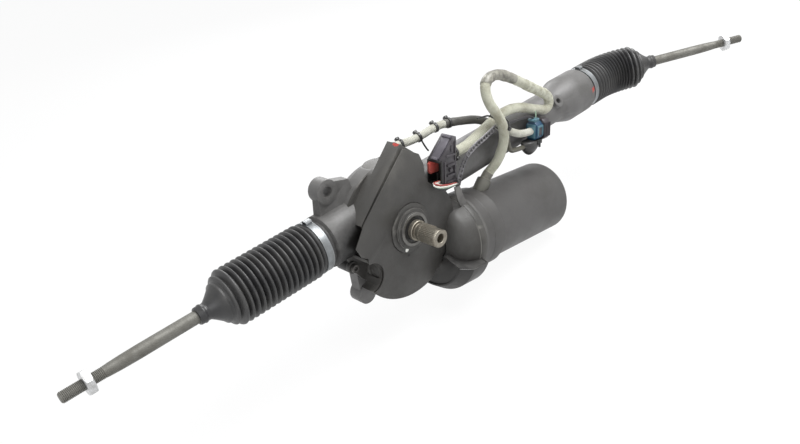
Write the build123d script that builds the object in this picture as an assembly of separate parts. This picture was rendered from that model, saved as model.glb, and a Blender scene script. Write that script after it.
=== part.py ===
from build123d import *
from math import acos, atan2, cos, degrees, pi, radians, sin, sqrt, tan
import os

# Power-assisted steering rack. Millimetres.
# Work frame: X along the rack bar, from the pinion end (-) to the plain end (+), Z up,
# Y along the pinion shaft with the column end at -Y. Its zero is on the rack axis, over the
# pinion. Every node is moved at the end so that the upper lug's bolt hole is the part's origin.
# Gear frame: the same turned about the pinion axis, so that its X is the worm and motor axis.

# ---- rack bar and its teeth ----
rack_r = 14.0
pinion_teeth = 8
tooth_module = 2.1            # of the normal section
helix = 15.0                  # degrees
pressure_angle = 20.0         # degrees, in the normal section
pinion_shift = 0.5            # profile shift that keeps the small pinion's roots sound
pinion_tip = 0.85             # tip height, in modules
root_depth = 1.25             # in modules
rack_pitch_height = 9.8       # rack axis down to the rack's pitch line
backlash = 0.3                # along the rack
stroke = 65.0                 # each way from the middle
tooth_run_out = 9.0           # toothed length past the stroke
pinion_face = 26.0
rack_bore_r = 14.6            # casting round the toothed bar
rack_bore_half = 62.0

# ---- overall layout ----
clamp_near = -113.0           # middle of the large boot clamp at the pinion end
clamp_far = 433.0             # the same at the plain end
pivot_out = 70.0              # boot clamp to ball joint centre
rod_len = 230.0               # ball centre to the tip of the tie rod
far_swing = 38.0              # rest swing of the plain-end tie rod, degrees
far_lift = 4.0                # and its lift

# ---- ball joints and tie rods ----
ball_r = 13.0
seat_wall = 2.9
seat_half_angle = 38.0        # degrees of the pressure cup round the rack's line
ball_housing_r = 20.0
ball_housing_back = 20.0      # ball centre to the housing's rack-side face
ball_lip = 4.0                # the housing's mouth past the ball centre
ball_step = -2.6              # where the cup's pocket starts
stub_r = 8.0
stub_len = 18.0
washer_t = 2.0
washer_r = 18.0
rod_r = 7.2
rod_neck_r = 5.5
neck_len = 21.0
thread_r = 6.0
thread_seat_r = 5.6           # rod under the nut, at the thread's mean radius
thread_len = 44.0
nut_af = 24.0
nut_h = 8.0
nut_at = 27.0                 # nut's middle from the rod's tip

# ---- bellows boots ----
boot_len = 155.0              # clamp middle to the lip of the small sleeve
boot_fold_start = 9.0         # from the clamp's middle
boot_fold_end = 114.0
boot_r = 33.3
boot_fold = 4.6               # depth of the folds
boot_folds = 15
boot_wall = 2.0
boot_cuff_r = 30.6
boot_sleeve_r = 9.8
boot_sleeve_len = 12.0
far_bend_reach = 32.0         # straight reach of the bend on each side of the ball centre
clamp_w = 9.5
clamp_t = 1.1
clamp_fit = 0.15              # between a boot cuff and its band
clamp_ear_w = 8.0
clamp_ear_h = 4.0

# ---- rack housing ----
tube_r = 25.5
tube_bore_r = 17.0
collar_r = 28.0               # seat of a boot cuff
collar_past = 8.0             # collar past the clamp's middle
collar_len = 19.0
end_bore_r = 21.2
stop_gap = 1.0                # lock washer to the housing's stop shoulder at full travel
bell_r = 34.0                 # plain-end bell
bell_start = 350.0
bell_full = 378.0
near_body_r = 32.5
bush_x = 395.0
bush_len = 20.0
side_boss_x = 339.0
side_boss_r = 9.0
side_boss_out = 31.0
side_boss_turn = 34.0         # lifted from straight front
side_hole_r = 4.2
side_hole_depth = 14.0

# ---- pinion box ----
worm_tilt = 9.0               # the motor points this far below the rack's line, degrees
drum_r = 79.0                 # round joint of the two castings
drum_front = -9.0
drum_flat = 8.0
drum_back = 24.0
drum_slope = 9.0              # the drum's rear face is this much smaller in radius
barrel_r = 24.0
barrel_back = 36.0
box_front = -38.8             # front face of the front casting
box_back = -17.0              # rear face of its box where it stands past the drum
box_inset = 0.6               # casting inside the shield's outline
flange_t = 2.6
shield_t = 1.6
shield_gap = 2.4              # dark slit between shield and casting
shield_bottom_r = 90.0
notch_r = 19.5                # the shield's cut-out round the worm's end boss
hub_r = 31.0
hub_step_r = 25.0
hub_nose_r = 21.5
hub_len = 11.6
hub_face = 1.5                # recess round the seal in the nose's face
hub_step = 5.0
wheel_room_r = 41.5
sensor_room_r = 19.5

# ---- yoke that presses the rack on the pinion ----
yoke_r = 13.0
yoke_len = 16.0
yoke_boss_r = 18.0
locknut_sink = 3.5            # lock nut under the drum's rim
plug_len = 12.0
plug_hex = 12.0
locknut_r = 15.5
locknut_h = 4.0
spring_r = 6.5
spring_wire = 2.6
spring_turns = 3

# ---- worm gear ----
wheel_teeth = 38
worm_starts = 2
worm_module = 2.0
worm_r = 9.0                  # pitch radius
worm_y = -24.6
wheel_face = 14.0
wheel_rim = 5.5               # plastic under the teeth
wheel_seat_r = 10.0
worm_backlash = 0.4
worm_len = 28.0
worm_shaft_r = 5.0
bearing_w = 9.0
worm_bearing_r = 11.0
worm_room_r = 12.0
worm_boss_r = 14.2
left_boss_end = -47.0
coupling_r = 12.0
coupling_w = 14.0

# ---- motor, stations measured along its axis from the pinion ----
shoulder_start = 70.0
shoulder_end = 80.0
neck_r = 49.0
joint_ring_at = 90.0
flange_at = 100.0
flange_r = 54.0
flange_steps = 1.2
can_r = 50.2
can_at = 139.0
can_end = 290.0
can_wall = 3.0
can_edge = 3.0
stator_in = 26.0
rotor_r = 25.2
motor_bearing_r = 13.0
outlet_x = 149.5              # cable outlet on top of the can
outlet_tilt = 40.0            # it leans this far along the motor
outlet_sink = 4.0             # its root under the can's surface
outlet_r = 10.0
outlet_len = 18.0
outlet_bore = 6.0
cap_r = 65.0                  # black shroud under the neck
cap_wall = 2.4
cap_from = 50.0
cap_full = 66.0
cap_to = 95.0
cap_small_r = 55.0
cap_front = 18.0              # its front edge, degrees below the straight front
cap_back = 150.0              # its rear edge, measured the same way

# ---- column shaft ----
input_r = 11.6
input_neck_r = 9.5
input_neck_end = -63.0
input_bore_r = 5.5
input_groove = 1.4
input_tip = -92.4
torsion_r = 2.6
torsion_waist_r = 2.1
spigot_r = 6.0
pinion_nose = -39.2           # front end of the pinion shaft
journal_r = 7.0
needle_r = 11.0
needle_back = 28.0

# ---- fits ----
run_fit = 0.05                # radial clearance of what turns or slides in a seat
loose = 0.4                   # clearance between parts that never touch

# ---- mounting lugs ----
lug_x = -80.0
lug_y = 4.0
lug_z = 57.0
lug_r = 14.5
lug_t = 17.0
lug_hole_r = 6.5
low_lug_x = -57.0
low_lug_z = -95.0
low_lug_y = 1.0
low_lug_t = 19.0
low_lug_r = 13.5
low_hole_r = 5.1              # for an M12 thread, blind from the rear
low_hole_depth = 15.0
lug_web_in = 2.0              # web set back from the eye's faces
lug_foot = ((-96.0, 28.0), (-40.0, 28.0), (-46.0, 58.0))
low_lug_foot = ((-66.0, -50.0), (-36.0, -80.0))

# ---- seal, bearings and sensor round the shafts ----
bearing_front_r = 17.0
front_bearing_y = -32.0
seal_r = 14.5
seal_w = 4.0
sensor_ring_r = 14.5
rotor_shaft_r = 5.0
stator_from = 158.0
stator_to = 270.0
dust_cap_r = 14.0

# ---- screws and spacers of the front casting, places in the gear frame ----
screw_r = 3.0
screw_head_r = 5.4
screw_head_h = 5.5
screw_socket_r = 2.8
screw_socket_depth = 3.0
screw_seat = 5.5              # head's seat in front of the joint
screw_depth = 14.0            # bore past the joint
screw_boss_r = 7.5
screw_places = ((-69.8, -36.3), (-10.0, -78.0), (40.0, 68.0), (66.0, -5.0))
post_r = 4.0
post_places = ((-6.0, 90.0), (-58.0, 22.0), (-12.0, -70.0))

# ---- outline of the pinion box and its shield, places in the gear frame ----
shield_apex = 100.5
box_apex = 106.0
left_edge = ((-86.8, 1.6), (-72.0, 28.0))
right_edge = ((19.0, 88.0), (26.0, 74.0), (28.0, 59.0), (33.0, 49.0), (65.0, 28.0), (74.0, 15.0))
side_bulge = (76.5, -22.0)
foot_edge = ((55.0, -58.0), (53.0, -67.0), (43.0, -73.0), (35.5, -81.0))
corner_edge = ((-69.0, -17.0), (-79.0, -11.5))
corner_room = ((-90.0, 24.0), (-68.0, 24.0), (-62.0, -20.0), (-90.0, -20.0))   # casting is cut back here
apex_x = -7.0
bottom_x = -63.0              # left end of the bottom's arc
notch_place = (-66.0, -44.0)

# ---- harness, places in the gear frame ----
loop_d = 13.5
loop_start = 0.5              # cable's end above the floor of the outlet's bore
loop_first = 15.0             # its first straight run, square to the outlet
loop_route = ((174.0, -36.0, 37.0), (178.5, -42.0, 58.0), (175.0, -47.5, 80.0), (163.0, -49.0, 102.0),
              (147.0, -41.0, 125.0), (150.0, -33.0, 149.0), (177.0, -30.0, 155.0), (207.0, -30.0, 145.0),
              (236.0, -30.0, 131.5), (268.0, -30.0, 117.0), (300.0, -30.0, 102.0), (295.0, -31.0, 83.0),
              (262.0, -30.0, 91.0), (228.0, -29.0, 101.0), (196.0, -29.0, 101.0), (165.0, -30.0, 91.0),
              (131.0, -33.0, 79.5), (101.0, -37.0, 72.0), (77.0, -37.0, 72.0))
sensor_d = 10.5
sensor_route = ((10.0, -17.0, 87.0), (10.0, -3.0, 87.0), (24.0, 5.0, 88.0), (45.0, 3.0, 88.0),
                (63.0, 0.0, 91.0), (84.0, -2.0, 97.5), (107.0, -4.0, 100.2), (135.6, -8.0, 98.0),
                (160.0, -10.0, 95.0), (177.0, -14.0, 89.0), (192.0, -26.0, 80.0), (208.0, -37.0, 70.0),
                (227.0, -38.0, 64.0), (247.0, -38.0, 64.0))
main_side = ((51.0, 39.0), (77.0, 39.0), (77.0, 98.0), (51.0, 72.0))   # main connector from the front
main_front = -50.0
main_back = -25.5
main_wall = 2.5
main_socket_depth = 16.0
main_socket_top = 69.0
bracket_side = ((52.0, 24.0), (60.0, 24.0), (66.0, 39.0), (52.0, 39.0))
bracket_front = -36.0
bracket_back = -28.0
insert_out = 7.0              # red lock standing out of the socket
insert_w = 7.0
insert_h = 10.0
side_place = (254.0, -38.0, 64.0)
side_size = (14.0, 20.0, 26.0)
latch_size = (9.0, 10.0, 4.0)
mate_size = (14.0, 24.0, 30.0)
hang_size = (34.0, 20.0, 20.0)
plug_corner = 5.0


# ---- worked out from the values above ----
transverse_module = tooth_module / cos(radians(helix))
transverse_angle = degrees(atan2(tan(radians(pressure_angle)), cos(radians(helix))))
pitch = pi * transverse_module
pinion_r = pinion_teeth * transverse_module / 2
pinion_drop = rack_pitch_height + pinion_r + pinion_shift * tooth_module
pinion_out_r = pinion_r + (pinion_shift + pinion_tip) * tooth_module
wheel_r = wheel_teeth * worm_module / 2
worm_drop = wheel_r + worm_r
worm_lead = pi * worm_module * worm_starts
worm_out_r = worm_r + worm_module
wheel_rear = worm_y + wheel_face / 2
drum_rear_r = drum_r - drum_slope
yoke_top = drum_r - pinion_drop - locknut_sink - locknut_h
joint_ring_r = flange_r + flange_steps
wheel_front = worm_y - wheel_face / 2
pivot_near = clamp_near - pivot_out
pivot_far = clamp_far + pivot_out
end_bore_depth = stroke + ball_housing_back + washer_t + stop_gap - pivot_out
rack_near = pivot_near + ball_housing_back + washer_t
rack_far = pivot_far - ball_housing_back - washer_t
seat_r = ball_r + seat_wall
shield_back = box_front - shield_gap
shield_front = shield_back - shield_t
hub_front = box_front - hub_len
worm_bearing_at = worm_len / 2 + 14.0
coupling_at = worm_bearing_at + bearing_w / 2 + 14.0
thread_free = rod_len - nut_at + nut_h / 2 + 0.5

GEAR = Pos(0, 0, -pinion_drop) * Rot(0, worm_tilt, 0)
WORM = GEAR * Pos(0, worm_y, -worm_drop)
NEAR_ROD = Pos(pivot_near, 0, 0) * Rot(0, 0, 180)
FAR_SEAT = Pos(pivot_far, 0, 0) * Rot(0, 0, -far_swing)
FAR_ROD = FAR_SEAT * Rot(0, -far_lift, 0)
DATUM = Pos(-lug_x, -lug_y, -lug_z)
OUTLET = Pos(outlet_x, 0, can_r - outlet_sink) * Rot(0, outlet_tilt, 0)
SIDE = GEAR * Pos(*side_place)
SIDE_BOSS = Pos(side_boss_x, 0, 0) * Rot(-side_boss_turn, 0, 0)

# the bent boot at the plain end
far_cone = degrees(acos(cos(radians(far_swing)) * cos(radians(far_lift))))
far_roll = degrees(atan2(sin(radians(far_lift)), -sin(radians(far_swing)) * cos(radians(far_lift))))
far_arc = far_bend_reach / tan(radians(far_cone) / 2) * radians(far_cone)
far_boot_len = boot_len - 2 * far_bend_reach + far_arc
FAR_BOOT = Pos(clamp_far, 0, 0) * Rot(far_roll, 0, 0)


# ------------------------------------------------------------------ shapes used all over

def tube_x(r, x0, x1):
    """Round bar about X from x0 to x1."""
    return Pos((x0 + x1) / 2, 0, 0) * Rot(0, 90, 0) * Cylinder(r, x1 - x0)


def ring_x(r_out, r_in, x0, x1):
    """Ring about X."""
    return tube_x(r_out, x0, x1) - tube_x(r_in, x0 - 1, x1 + 1)


def bar_y(r, y0, y1):
    """Round bar about Y from y0 to y1."""
    return Pos(0, (y0 + y1) / 2, 0) * Rot(90, 0, 0) * Cylinder(r, y1 - y0)


def ring_y(r_out, r_in, y0, y1):
    """Ring about Y."""
    return bar_y(r_out, y0, y1) - bar_y(r_in, y0 - 1, y1 + 1)


def bar_z(r, z0, z1):
    """Round bar about Z from z0 to z1."""
    return Pos(0, 0, (z0 + z1) / 2) * Cylinder(r, z1 - z0)


def turned_x(*points):
    """Solid turned about X from (x, r) points; the first and last lie on the axis."""
    return revolve(Plane.XY * make_face(Polyline(*points, close=True)), Axis.X)


def turned_y(*points):
    """Solid turned about Y from (r, y) points; the first and last lie on the axis."""
    return revolve(Plane.XY * make_face(Polyline(*points, close=True)), Axis.Y)


def slab(face, y0, y1):
    """A face drawn in X and Z, filled from y0 to y1."""
    return extrude(Plane.XZ.offset(-y1) * face, y1 - y0)


def on_pinion(shape):
    """Moves a shape made about the Y axis onto the pinion's axis."""
    return Pos(0, 0, -pinion_drop) * shape


# ------------------------------------------------------------------ rack and pinion

def rack_tooth_line():
    """Zigzag of straight-sided teeth under the rack axis, over the whole toothed length."""
    half = stroke + pinion_r + tooth_run_out
    count = int(half / pitch) + 1
    slope = tan(radians(transverse_angle))
    root, tip = root_depth * tooth_module, tooth_module
    half_tooth = pitch / 4 - backlash / 4
    line = []
    for i in range(-count, count):
        mid = (i + 0.5) * pitch
        line.append((mid - half_tooth - root * slope, root - rack_pitch_height))
        line.append((mid - half_tooth + tip * slope, -tip - rack_pitch_height))
        line.append((mid + half_tooth - tip * slope, -tip - rack_pitch_height))
        line.append((mid + half_tooth + root * slope, root - rack_pitch_height))
    return line


def ball_thread_bore():
    """Blind bore along +X for a ball housing's stub."""
    return tube_x(stub_r, -1, stub_len + loose)


def rack_bar():
    """Round bar with slanted teeth cut in its underside and a blind bore in each end."""
    bar = tube_x(rack_r, rack_near, rack_far)
    line = rack_tooth_line()
    under = make_face(Polyline(*line, (line[-1][0], -2 * rack_r), (line[0][0], -2 * rack_r), close=True))
    slant = Vector(tan(radians(helix)), 1, 0)
    cutter = extrude(Plane.XZ * under, 1.3 * rack_r, dir=slant, both=True)
    bar -= cutter
    bar -= Pos(rack_near, 0, 0) * ball_thread_bore()
    bar -= Pos(rack_far, 0, 0) * Rot(0, 0, 180) * ball_thread_bore()
    return bar


def half_angle(r, teeth, r_pitch, m, angle, shift, thin):
    """Half the angle that a tooth spans at the radius r, from the involute of its base circle."""
    at_pitch = (pi / 2 * m + 2 * shift * tan(radians(angle)) - thin) / (2 * r_pitch)
    roll = acos(min(1.0, r_pitch * cos(radians(angle)) / r))
    return at_pitch + tan(radians(angle)) - radians(angle) - tan(roll) + roll


def gear_face(radii, teeth, r_pitch, m, angle, shift, thin, first):
    """Toothed outline in its own plane; a tooth points to the angle first, in degrees."""
    points = []
    for i in range(teeth):
        mid = radians(first) + i * 2 * pi / teeth
        flank = [(r, half_angle(r, teeth, r_pitch, m, angle, shift, thin)) for r in radii]
        points += [(r * cos(mid - half), r * sin(mid - half)) for r, half in flank]
        points += [(r * cos(mid + half), r * sin(mid + half)) for r, half in flank[::-1]]
    return make_face(Polyline(*points, close=True))


def twisted(face, length, turn):
    """A face in XY made a bar centred on Z, turned evenly by turn degrees along it."""
    start = Pos(0, 0, -length / 2) * Rot(0, 0, -turn / 2) * face
    return Solid.extrude_linear_with_rotation(start.face(), (0, 0, -length / 2), (0, 0, length), turn)


def pinion_shaft():
    """Helical pinion with its journals, the wheel's seat and bores for spigot and torsion bar."""
    base = pinion_r * cos(radians(transverse_angle))
    root = pinion_out_r - (root_depth + pinion_tip) * tooth_module
    shift = pinion_shift * tooth_module
    radii = (root, base + 0.15, pinion_r, (pinion_r + pinion_out_r) / 2 + 0.4, pinion_out_r)
    face = gear_face(radii, pinion_teeth, pinion_r, transverse_module, transverse_angle, shift,
                     backlash / 2, -90)
    turn = degrees(pinion_face * tan(radians(helix)) / pinion_r)
    shaft = Rot(-90, 0, 0) * twisted(face, pinion_face, turn)
    half = pinion_face / 2
    shaft += bar_y(journal_r, half - 0.5, needle_back)
    shaft += bar_y(journal_r, wheel_rear, 0.5 - half)
    shaft += bar_y(wheel_seat_r + 3, wheel_rear, wheel_rear + 1.2)
    shaft += bar_y(wheel_seat_r, pinion_nose, wheel_rear)
    shaft -= bar_y(spigot_r + run_fit, pinion_nose - 1, wheel_front + 10)
    shaft -= bar_y(torsion_r + run_fit, wheel_front, half - 3)
    return on_pinion(shaft)


def worm_wheel():
    """Plastic toothed rim with teeth slanted to the worm's lead."""
    lead_angle = atan2(worm_lead, 2 * pi * worm_r)
    root = wheel_r - root_depth * worm_module
    radii = (root, wheel_r + worm_module)
    face = gear_face(radii, wheel_teeth, wheel_r, worm_module, pressure_angle, 0, worm_backlash, 90)
    turn = degrees(wheel_face * tan(lead_angle) / wheel_r)
    rim = Rot(-90, 0, 0) * twisted(face, wheel_face, turn)
    rim -= bar_y(root - wheel_rim, -wheel_face, wheel_face)
    return on_pinion(Pos(0, worm_y, 0) * rim)


def wheel_hub():
    """Steel disc that carries the rim, dished on both sides."""
    rim_r = wheel_r - root_depth * worm_module - wheel_rim
    hub = bar_y(rim_r, -wheel_face / 2, wheel_face / 2)
    dish = ring_y(rim_r - 4, wheel_seat_r + 5, wheel_face / 2 - 3.5, wheel_face)
    hub -= dish
    hub -= Rot(180, 0, 0) * dish
    hub -= bar_y(wheel_seat_r, -wheel_face, wheel_face)
    return on_pinion(Pos(0, worm_y, 0) * hub)


def worm_shaft():
    """Worm of two starts cut on a shaft with a journal on each side."""
    root = worm_r - root_depth * worm_module
    tip = worm_out_r
    flank = (tip - root) * tan(radians(pressure_angle)) / worm_lead * 360
    land = (pi * worm_module / 2 - 2 * worm_module * tan(radians(pressure_angle)) - worm_backlash / 2)
    land = land / worm_lead * 360
    points = []
    for i in range(worm_starts):
        mid = 90 + i * 360 / worm_starts
        for r, at in ((root, -land / 2 - flank), (tip, -land / 2), (tip, land / 2), (root, land / 2 + flank)):
            points.append((r * cos(radians(mid + at)), r * sin(radians(mid + at))))
        half = 180 / worm_starts
        points.append((root * cos(radians(mid + half)), root * sin(radians(mid + half))))
    section = make_face(Polyline(*points, close=True))
    turn = 360 * worm_len / worm_lead
    worm = Rot(0, 90, 0) * twisted(section, worm_len, turn)
    reach = worm_bearing_at + bearing_w / 2
    worm += tube_x(worm_shaft_r, -reach, coupling_at - 1)
    return WORM * worm


def bearing(r_out, r_in, width):
    """Ball bearing about X, centred, with a groove between its rings on each side."""
    ring = ring_x(r_out, r_in + run_fit, -width / 2, width / 2)
    mean = (r_out + r_in) / 2
    quarter = (r_out - r_in) / 5
    groove = ring_x(mean + quarter, mean - quarter, width / 2 - 0.8, width / 2 + 1)
    return ring - groove - Rot(0, 0, 180) * groove


# ------------------------------------------------------------------ castings

def cover_outline(apex):
    """Outline of the pinion box up to its apex, with a round cut-out for the worm's end boss."""
    bottom_start, bottom_mid = foot_edge[-1], (-14.0, -sqrt(shield_bottom_r ** 2 - 14.0 ** 2))
    bottom_end = (bottom_x, -sqrt(shield_bottom_r ** 2 - bottom_x ** 2))
    edge = Polyline(*left_edge, (apex_x, apex), *right_edge)
    side = ThreePointArc(right_edge[-1], side_bulge, foot_edge[0])
    foot = Polyline(*foot_edge)
    bottom = ThreePointArc(bottom_start, bottom_mid, bottom_end)
    corner = Polyline(bottom_end, notch_place, *corner_edge, left_edge[0])
    return make_face(edge + side + foot + bottom + corner) - Pos(*notch_place) * Circle(notch_r)


def motor_shoulder(grow):
    """Bell that widens from the worm's bore to the motor's joint ring, grown by a clearance."""
    shoulder = turned_x((0, 0), (0, worm_boss_r), (shoulder_start - grow, worm_boss_r),
                        (shoulder_end - grow, neck_r), (joint_ring_at, neck_r), (joint_ring_at, joint_ring_r),
                        (flange_at, joint_ring_r), (flange_at, 0))
    return WORM * shoulder


def front_blank():
    """Solid form of the front casting: teardrop box, round joint flange, motor shoulder and bosses."""
    side = offset(cover_outline(box_apex), -box_inset) - make_face(Polyline(*corner_room, close=True))
    box = GEAR * slab(side, box_front, box_back)
    box += GEAR * slab(side, box_back, drum_front) & on_pinion(bar_y(drum_r, box_back, drum_front))
    box += on_pinion(bar_y(drum_r, drum_front - flange_t, drum_front))
    box += motor_shoulder(0)
    box += WORM * tube_x(worm_boss_r, left_boss_end, 0)
    for x, z in screw_places:
        box += GEAR * Pos(x, 0, z) * bar_y(screw_boss_r, drum_front - screw_seat, drum_front)
    return box


def hub():
    """Stepped nose of the front casting round the input shaft."""
    nose = bar_y(hub_r, box_front - hub_step, box_front + 1)
    nose += bar_y(hub_step_r, box_front - 2 * hub_step + 1, box_front)
    nose += bar_y(hub_nose_r, hub_front, box_front)
    return on_pinion(nose)


def front_casting():
    """Front casting with rooms for the wheel, the worm, the sensor and the rack."""
    case = front_blank() + hub() + connector_bracket()
    for r, y0, y1 in ((wheel_room_r, wheel_front - 1.5, wheel_rear + 1.6),
                      (pinion_out_r + 2 * loose, wheel_rear, 0),
                      (bearing_front_r, front_bearing_y - bearing_w, wheel_front),
                      (sensor_room_r, hub_front + seal_w, front_bearing_y - bearing_w),
                      (seal_r, hub_front - 1, hub_front + seal_w),
                      (seal_r + 2.5, hub_front - 1, hub_front + hub_face)):
        case -= on_pinion(bar_y(r, y0, y1))
    reach = worm_bearing_at + bearing_w / 2
    case -= WORM * tube_x(worm_bearing_r, left_boss_end - 1, reach)
    case -= WORM * tube_x(worm_room_r, -worm_bearing_at + bearing_w / 2, worm_bearing_at - bearing_w / 2)
    case -= WORM * tube_x(coupling_r + 2 * loose, reach, flange_at + 1)
    case -= tube_x(rack_bore_r, -rack_bore_half, rack_bore_half)
    case -= tube_x(tube_bore_r, clamp_near, -rack_bore_half)
    case -= tube_x(tube_bore_r, rack_bore_half, bell_start)
    case -= bar_z(yoke_r, 0, yoke_top + 1)
    case -= bar_z(locknut_r + 1, yoke_top, drum_r)
    for x, z in screw_places:
        case -= GEAR * Pos(x, 0, z) * bar_y(screw_r, box_front, 0)
        case -= GEAR * Pos(x, 0, z) * bar_y(screw_head_r + loose, box_front - 1, drum_front - screw_seat)
    return case


def connector_bracket():
    """Foot on the casting's shoulder that carries the main connector."""
    return GEAR * slab(make_face(Polyline(*bracket_side, close=True)), bracket_front, bracket_back)


def shield_post(x, z):
    """Spacer between the casting's front face and the shield."""
    return GEAR * Pos(x, 0, z) * bar_y(post_r, shield_back, box_front)


def shield():
    """Thin front shield with a round opening for the hub, cut back round the motor's shoulder."""
    plate = GEAR * slab(cover_outline(shield_apex), shield_front, shield_back)
    plate -= on_pinion(bar_y(hub_r + loose, shield_front - 1, shield_back + 1))
    return plate - motor_shoulder(2.0)


def lug(x, z, y, r, t, foot):
    """Round lug eye joined to the casting by a web down to the foot points."""
    eye = Pos(x, 0, z) * bar_y(r, y - t / 2, y + t / 2)
    side = Vector(foot[-1][0] - foot[0][0], foot[-1][1] - foot[0][1]).normalized() * r
    web = make_face(Polyline((x - side.X, z - side.Y), (x + side.X, z + side.Y), *foot[::-1], close=True))
    return eye + slab(web, y - t / 2 + lug_web_in, y + t / 2 - lug_web_in)


def rear_housing():
    """Long tube with collars and bell, drum round the pinion, yoke boss and two mounting lugs."""
    far_end = clamp_far + collar_past
    near_end = clamp_near - collar_past
    near_shoulder = near_end + collar_len
    far_shoulder = far_end - collar_len + 3
    body = turned_x((near_end, 0), (near_end, collar_r), (near_shoulder, collar_r),
                    (near_shoulder + 2, near_body_r), (0, near_body_r), (0, tube_r), (bell_start, tube_r),
                    (bell_full, bell_r), (far_shoulder - 2, bell_r), (far_shoulder, collar_r),
                    (far_end, collar_r), (far_end, 0))
    body += on_pinion(turned_y((0, drum_front), (drum_r, drum_front), (drum_r, drum_flat),
                               (drum_rear_r, drum_back), (barrel_r + 4, drum_back + 3),
                               (barrel_r, drum_back + 6), (barrel_r, barrel_back), (0, barrel_back)))
    body += bar_z(yoke_boss_r, 0, yoke_top)
    body += lug(lug_x, lug_z, lug_y, lug_r, lug_t, lug_foot)
    body += lug(low_lug_x, low_lug_z, low_lug_y, low_lug_r, low_lug_t, low_lug_foot)
    for x, z in screw_places:
        body += GEAR * Pos(x, 0, z) * bar_y(screw_boss_r, drum_front, drum_flat)
    body += SIDE_BOSS * bar_y(side_boss_r, -side_boss_out, -tube_r / 2)
    body -= front_blank()
    body -= tube_x(rack_bore_r, -rack_bore_half, rack_bore_half)
    body -= tube_x(tube_bore_r, near_end - 1, -rack_bore_half)
    body -= tube_x(tube_bore_r, rack_bore_half, far_end + 1)
    body -= tube_x(end_bore_r, near_end - 1, clamp_near + end_bore_depth)
    body -= tube_x(end_bore_r, clamp_far - end_bore_depth, far_end + 1)
    body -= bar_z(yoke_r, 0, yoke_top + 1)
    body -= bar_z(locknut_r + 1, yoke_top, drum_r)
    body -= on_pinion(bar_y(pinion_out_r + 2 * loose, drum_front - 1, pinion_face / 2 + 0.6))
    body -= on_pinion(bar_y(needle_r, 0, needle_back + 1))
    body -= on_pinion(bar_y(dust_cap_r, needle_back + 1, barrel_back + 1))
    body -= Pos(lug_x, lug_y, lug_z) * bar_y(lug_hole_r, -lug_t, lug_t)
    low_rear = low_lug_y + low_lug_t / 2
    body -= Pos(low_lug_x, low_rear, low_lug_z) * bar_y(low_hole_r, -low_hole_depth, 1)
    body -= SIDE_BOSS * bar_y(side_hole_r, -side_boss_out - 1, side_hole_depth - side_boss_out)
    for x, z in screw_places:
        body -= GEAR * Pos(x, 0, z) * bar_y(screw_r, drum_front - 1, drum_front + screw_depth)
    return body


def case_screw(x, z):
    """Socket screw that holds the front casting on the drum."""
    seat = drum_front - screw_seat
    screw = bar_y(screw_head_r, seat - screw_head_h, seat)
    screw += bar_y(screw_r, seat, drum_front + screw_depth - 1)
    socket = Rot(90, 0, 0) * extrude(RegularPolygon(screw_socket_r, 6), screw_head_h)
    return GEAR * Pos(x, 0, z) * (screw - Pos(0, seat - screw_head_h + screw_socket_depth, 0) * socket)


def case_screws():
    """The screws of the front casting."""
    return Part() + [case_screw(x, z) for x, z in screw_places]


def yoke():
    """Piston that presses on the rack's back, hollow for the spring."""
    piston = bar_z(yoke_r - run_fit, 4, rack_r + yoke_len)
    piston -= tube_x(rack_r + run_fit, -2 * yoke_r, 2 * yoke_r)
    return piston - bar_z(spring_r + spring_wire, rack_r + yoke_len / 2, rack_r + yoke_len + 1)


def yoke_spring():
    """Short coil spring between yoke and plug."""
    low = rack_r + yoke_len / 2
    high = yoke_top - plug_len
    pitch_z = (high - low - spring_wire) / spring_turns
    path = Helix(pitch=pitch_z, height=high - low - spring_wire, radius=spring_r)
    start = Plane(origin=path @ 0, z_dir=path % 0)
    coil = sweep(start * Circle(spring_wire / 2), path=path)
    return Pos(0, 0, low + spring_wire / 2) * coil


def yoke_plug():
    """Threaded plug that sets the spring, with a hexagon socket."""
    plug = bar_z(yoke_r - run_fit, yoke_top - plug_len, yoke_top + locknut_h)
    return plug - Pos(0, 0, yoke_top) * extrude(RegularPolygon(plug_hex / 2, 6), 20)


def yoke_locknut():
    """Thin hexagon lock nut round the plug."""
    nut = Pos(0, 0, yoke_top) * extrude(RegularPolygon(locknut_r, 6), locknut_h)
    return nut - bar_z(yoke_r, yoke_top - 1, yoke_top + locknut_h + 1)


def rack_bush():
    """Plain bush at the bell end."""
    return ring_x(tube_bore_r, rack_r + run_fit, bush_x - bush_len / 2, bush_x + bush_len / 2)


# ------------------------------------------------------------------ motor

def motor_flange():
    """Mounting flange of the motor, stepped like the seam between neck and can."""
    flange = tube_x(flange_r, flange_at, can_at)
    flange += tube_x(flange_r + flange_steps, flange_at, flange_at + 5)
    flange -= tube_x(motor_bearing_r, flange_at - 1, flange_at + 14)
    flange -= tube_x(rotor_shaft_r + loose, flange_at, can_at + 1)
    flange -= tube_x(motor_bearing_r, can_at - 8, can_at + 1)
    return WORM * flange


def motor_can():
    """Drawn steel can with a rounded closed end."""
    can = turned_x((can_at, 0), (can_at, can_r), (can_end - can_edge, can_r), (can_end, can_r - can_edge),
                   (can_end, 0))
    room = turned_x((can_at - 1, 0), (can_at - 1, can_r - can_wall), (can_end - can_wall, can_r - can_wall),
                    (can_end - can_wall, 0))
    cup = ring_x(motor_bearing_r + 3, motor_bearing_r, can_end - can_wall - 8, can_end - can_wall)
    return WORM * (can - room + cup)


def cable_outlet():
    """Rubber outlet leaning on the can's top, with a blind bore for the motor's cable."""
    boss = OUTLET * bar_z(outlet_r, -outlet_sink, outlet_len)
    bore = OUTLET * bar_z(loop_d / 2 + loose, outlet_len - outlet_bore, outlet_len + 1)
    return WORM * (boss - bore - tube_x(can_r, can_at - 1, can_end))


def stator():
    """Laminated ring with its windings, seated in the can."""
    return WORM * ring_x(can_r - can_wall, stator_in, stator_from, stator_to)


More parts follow.
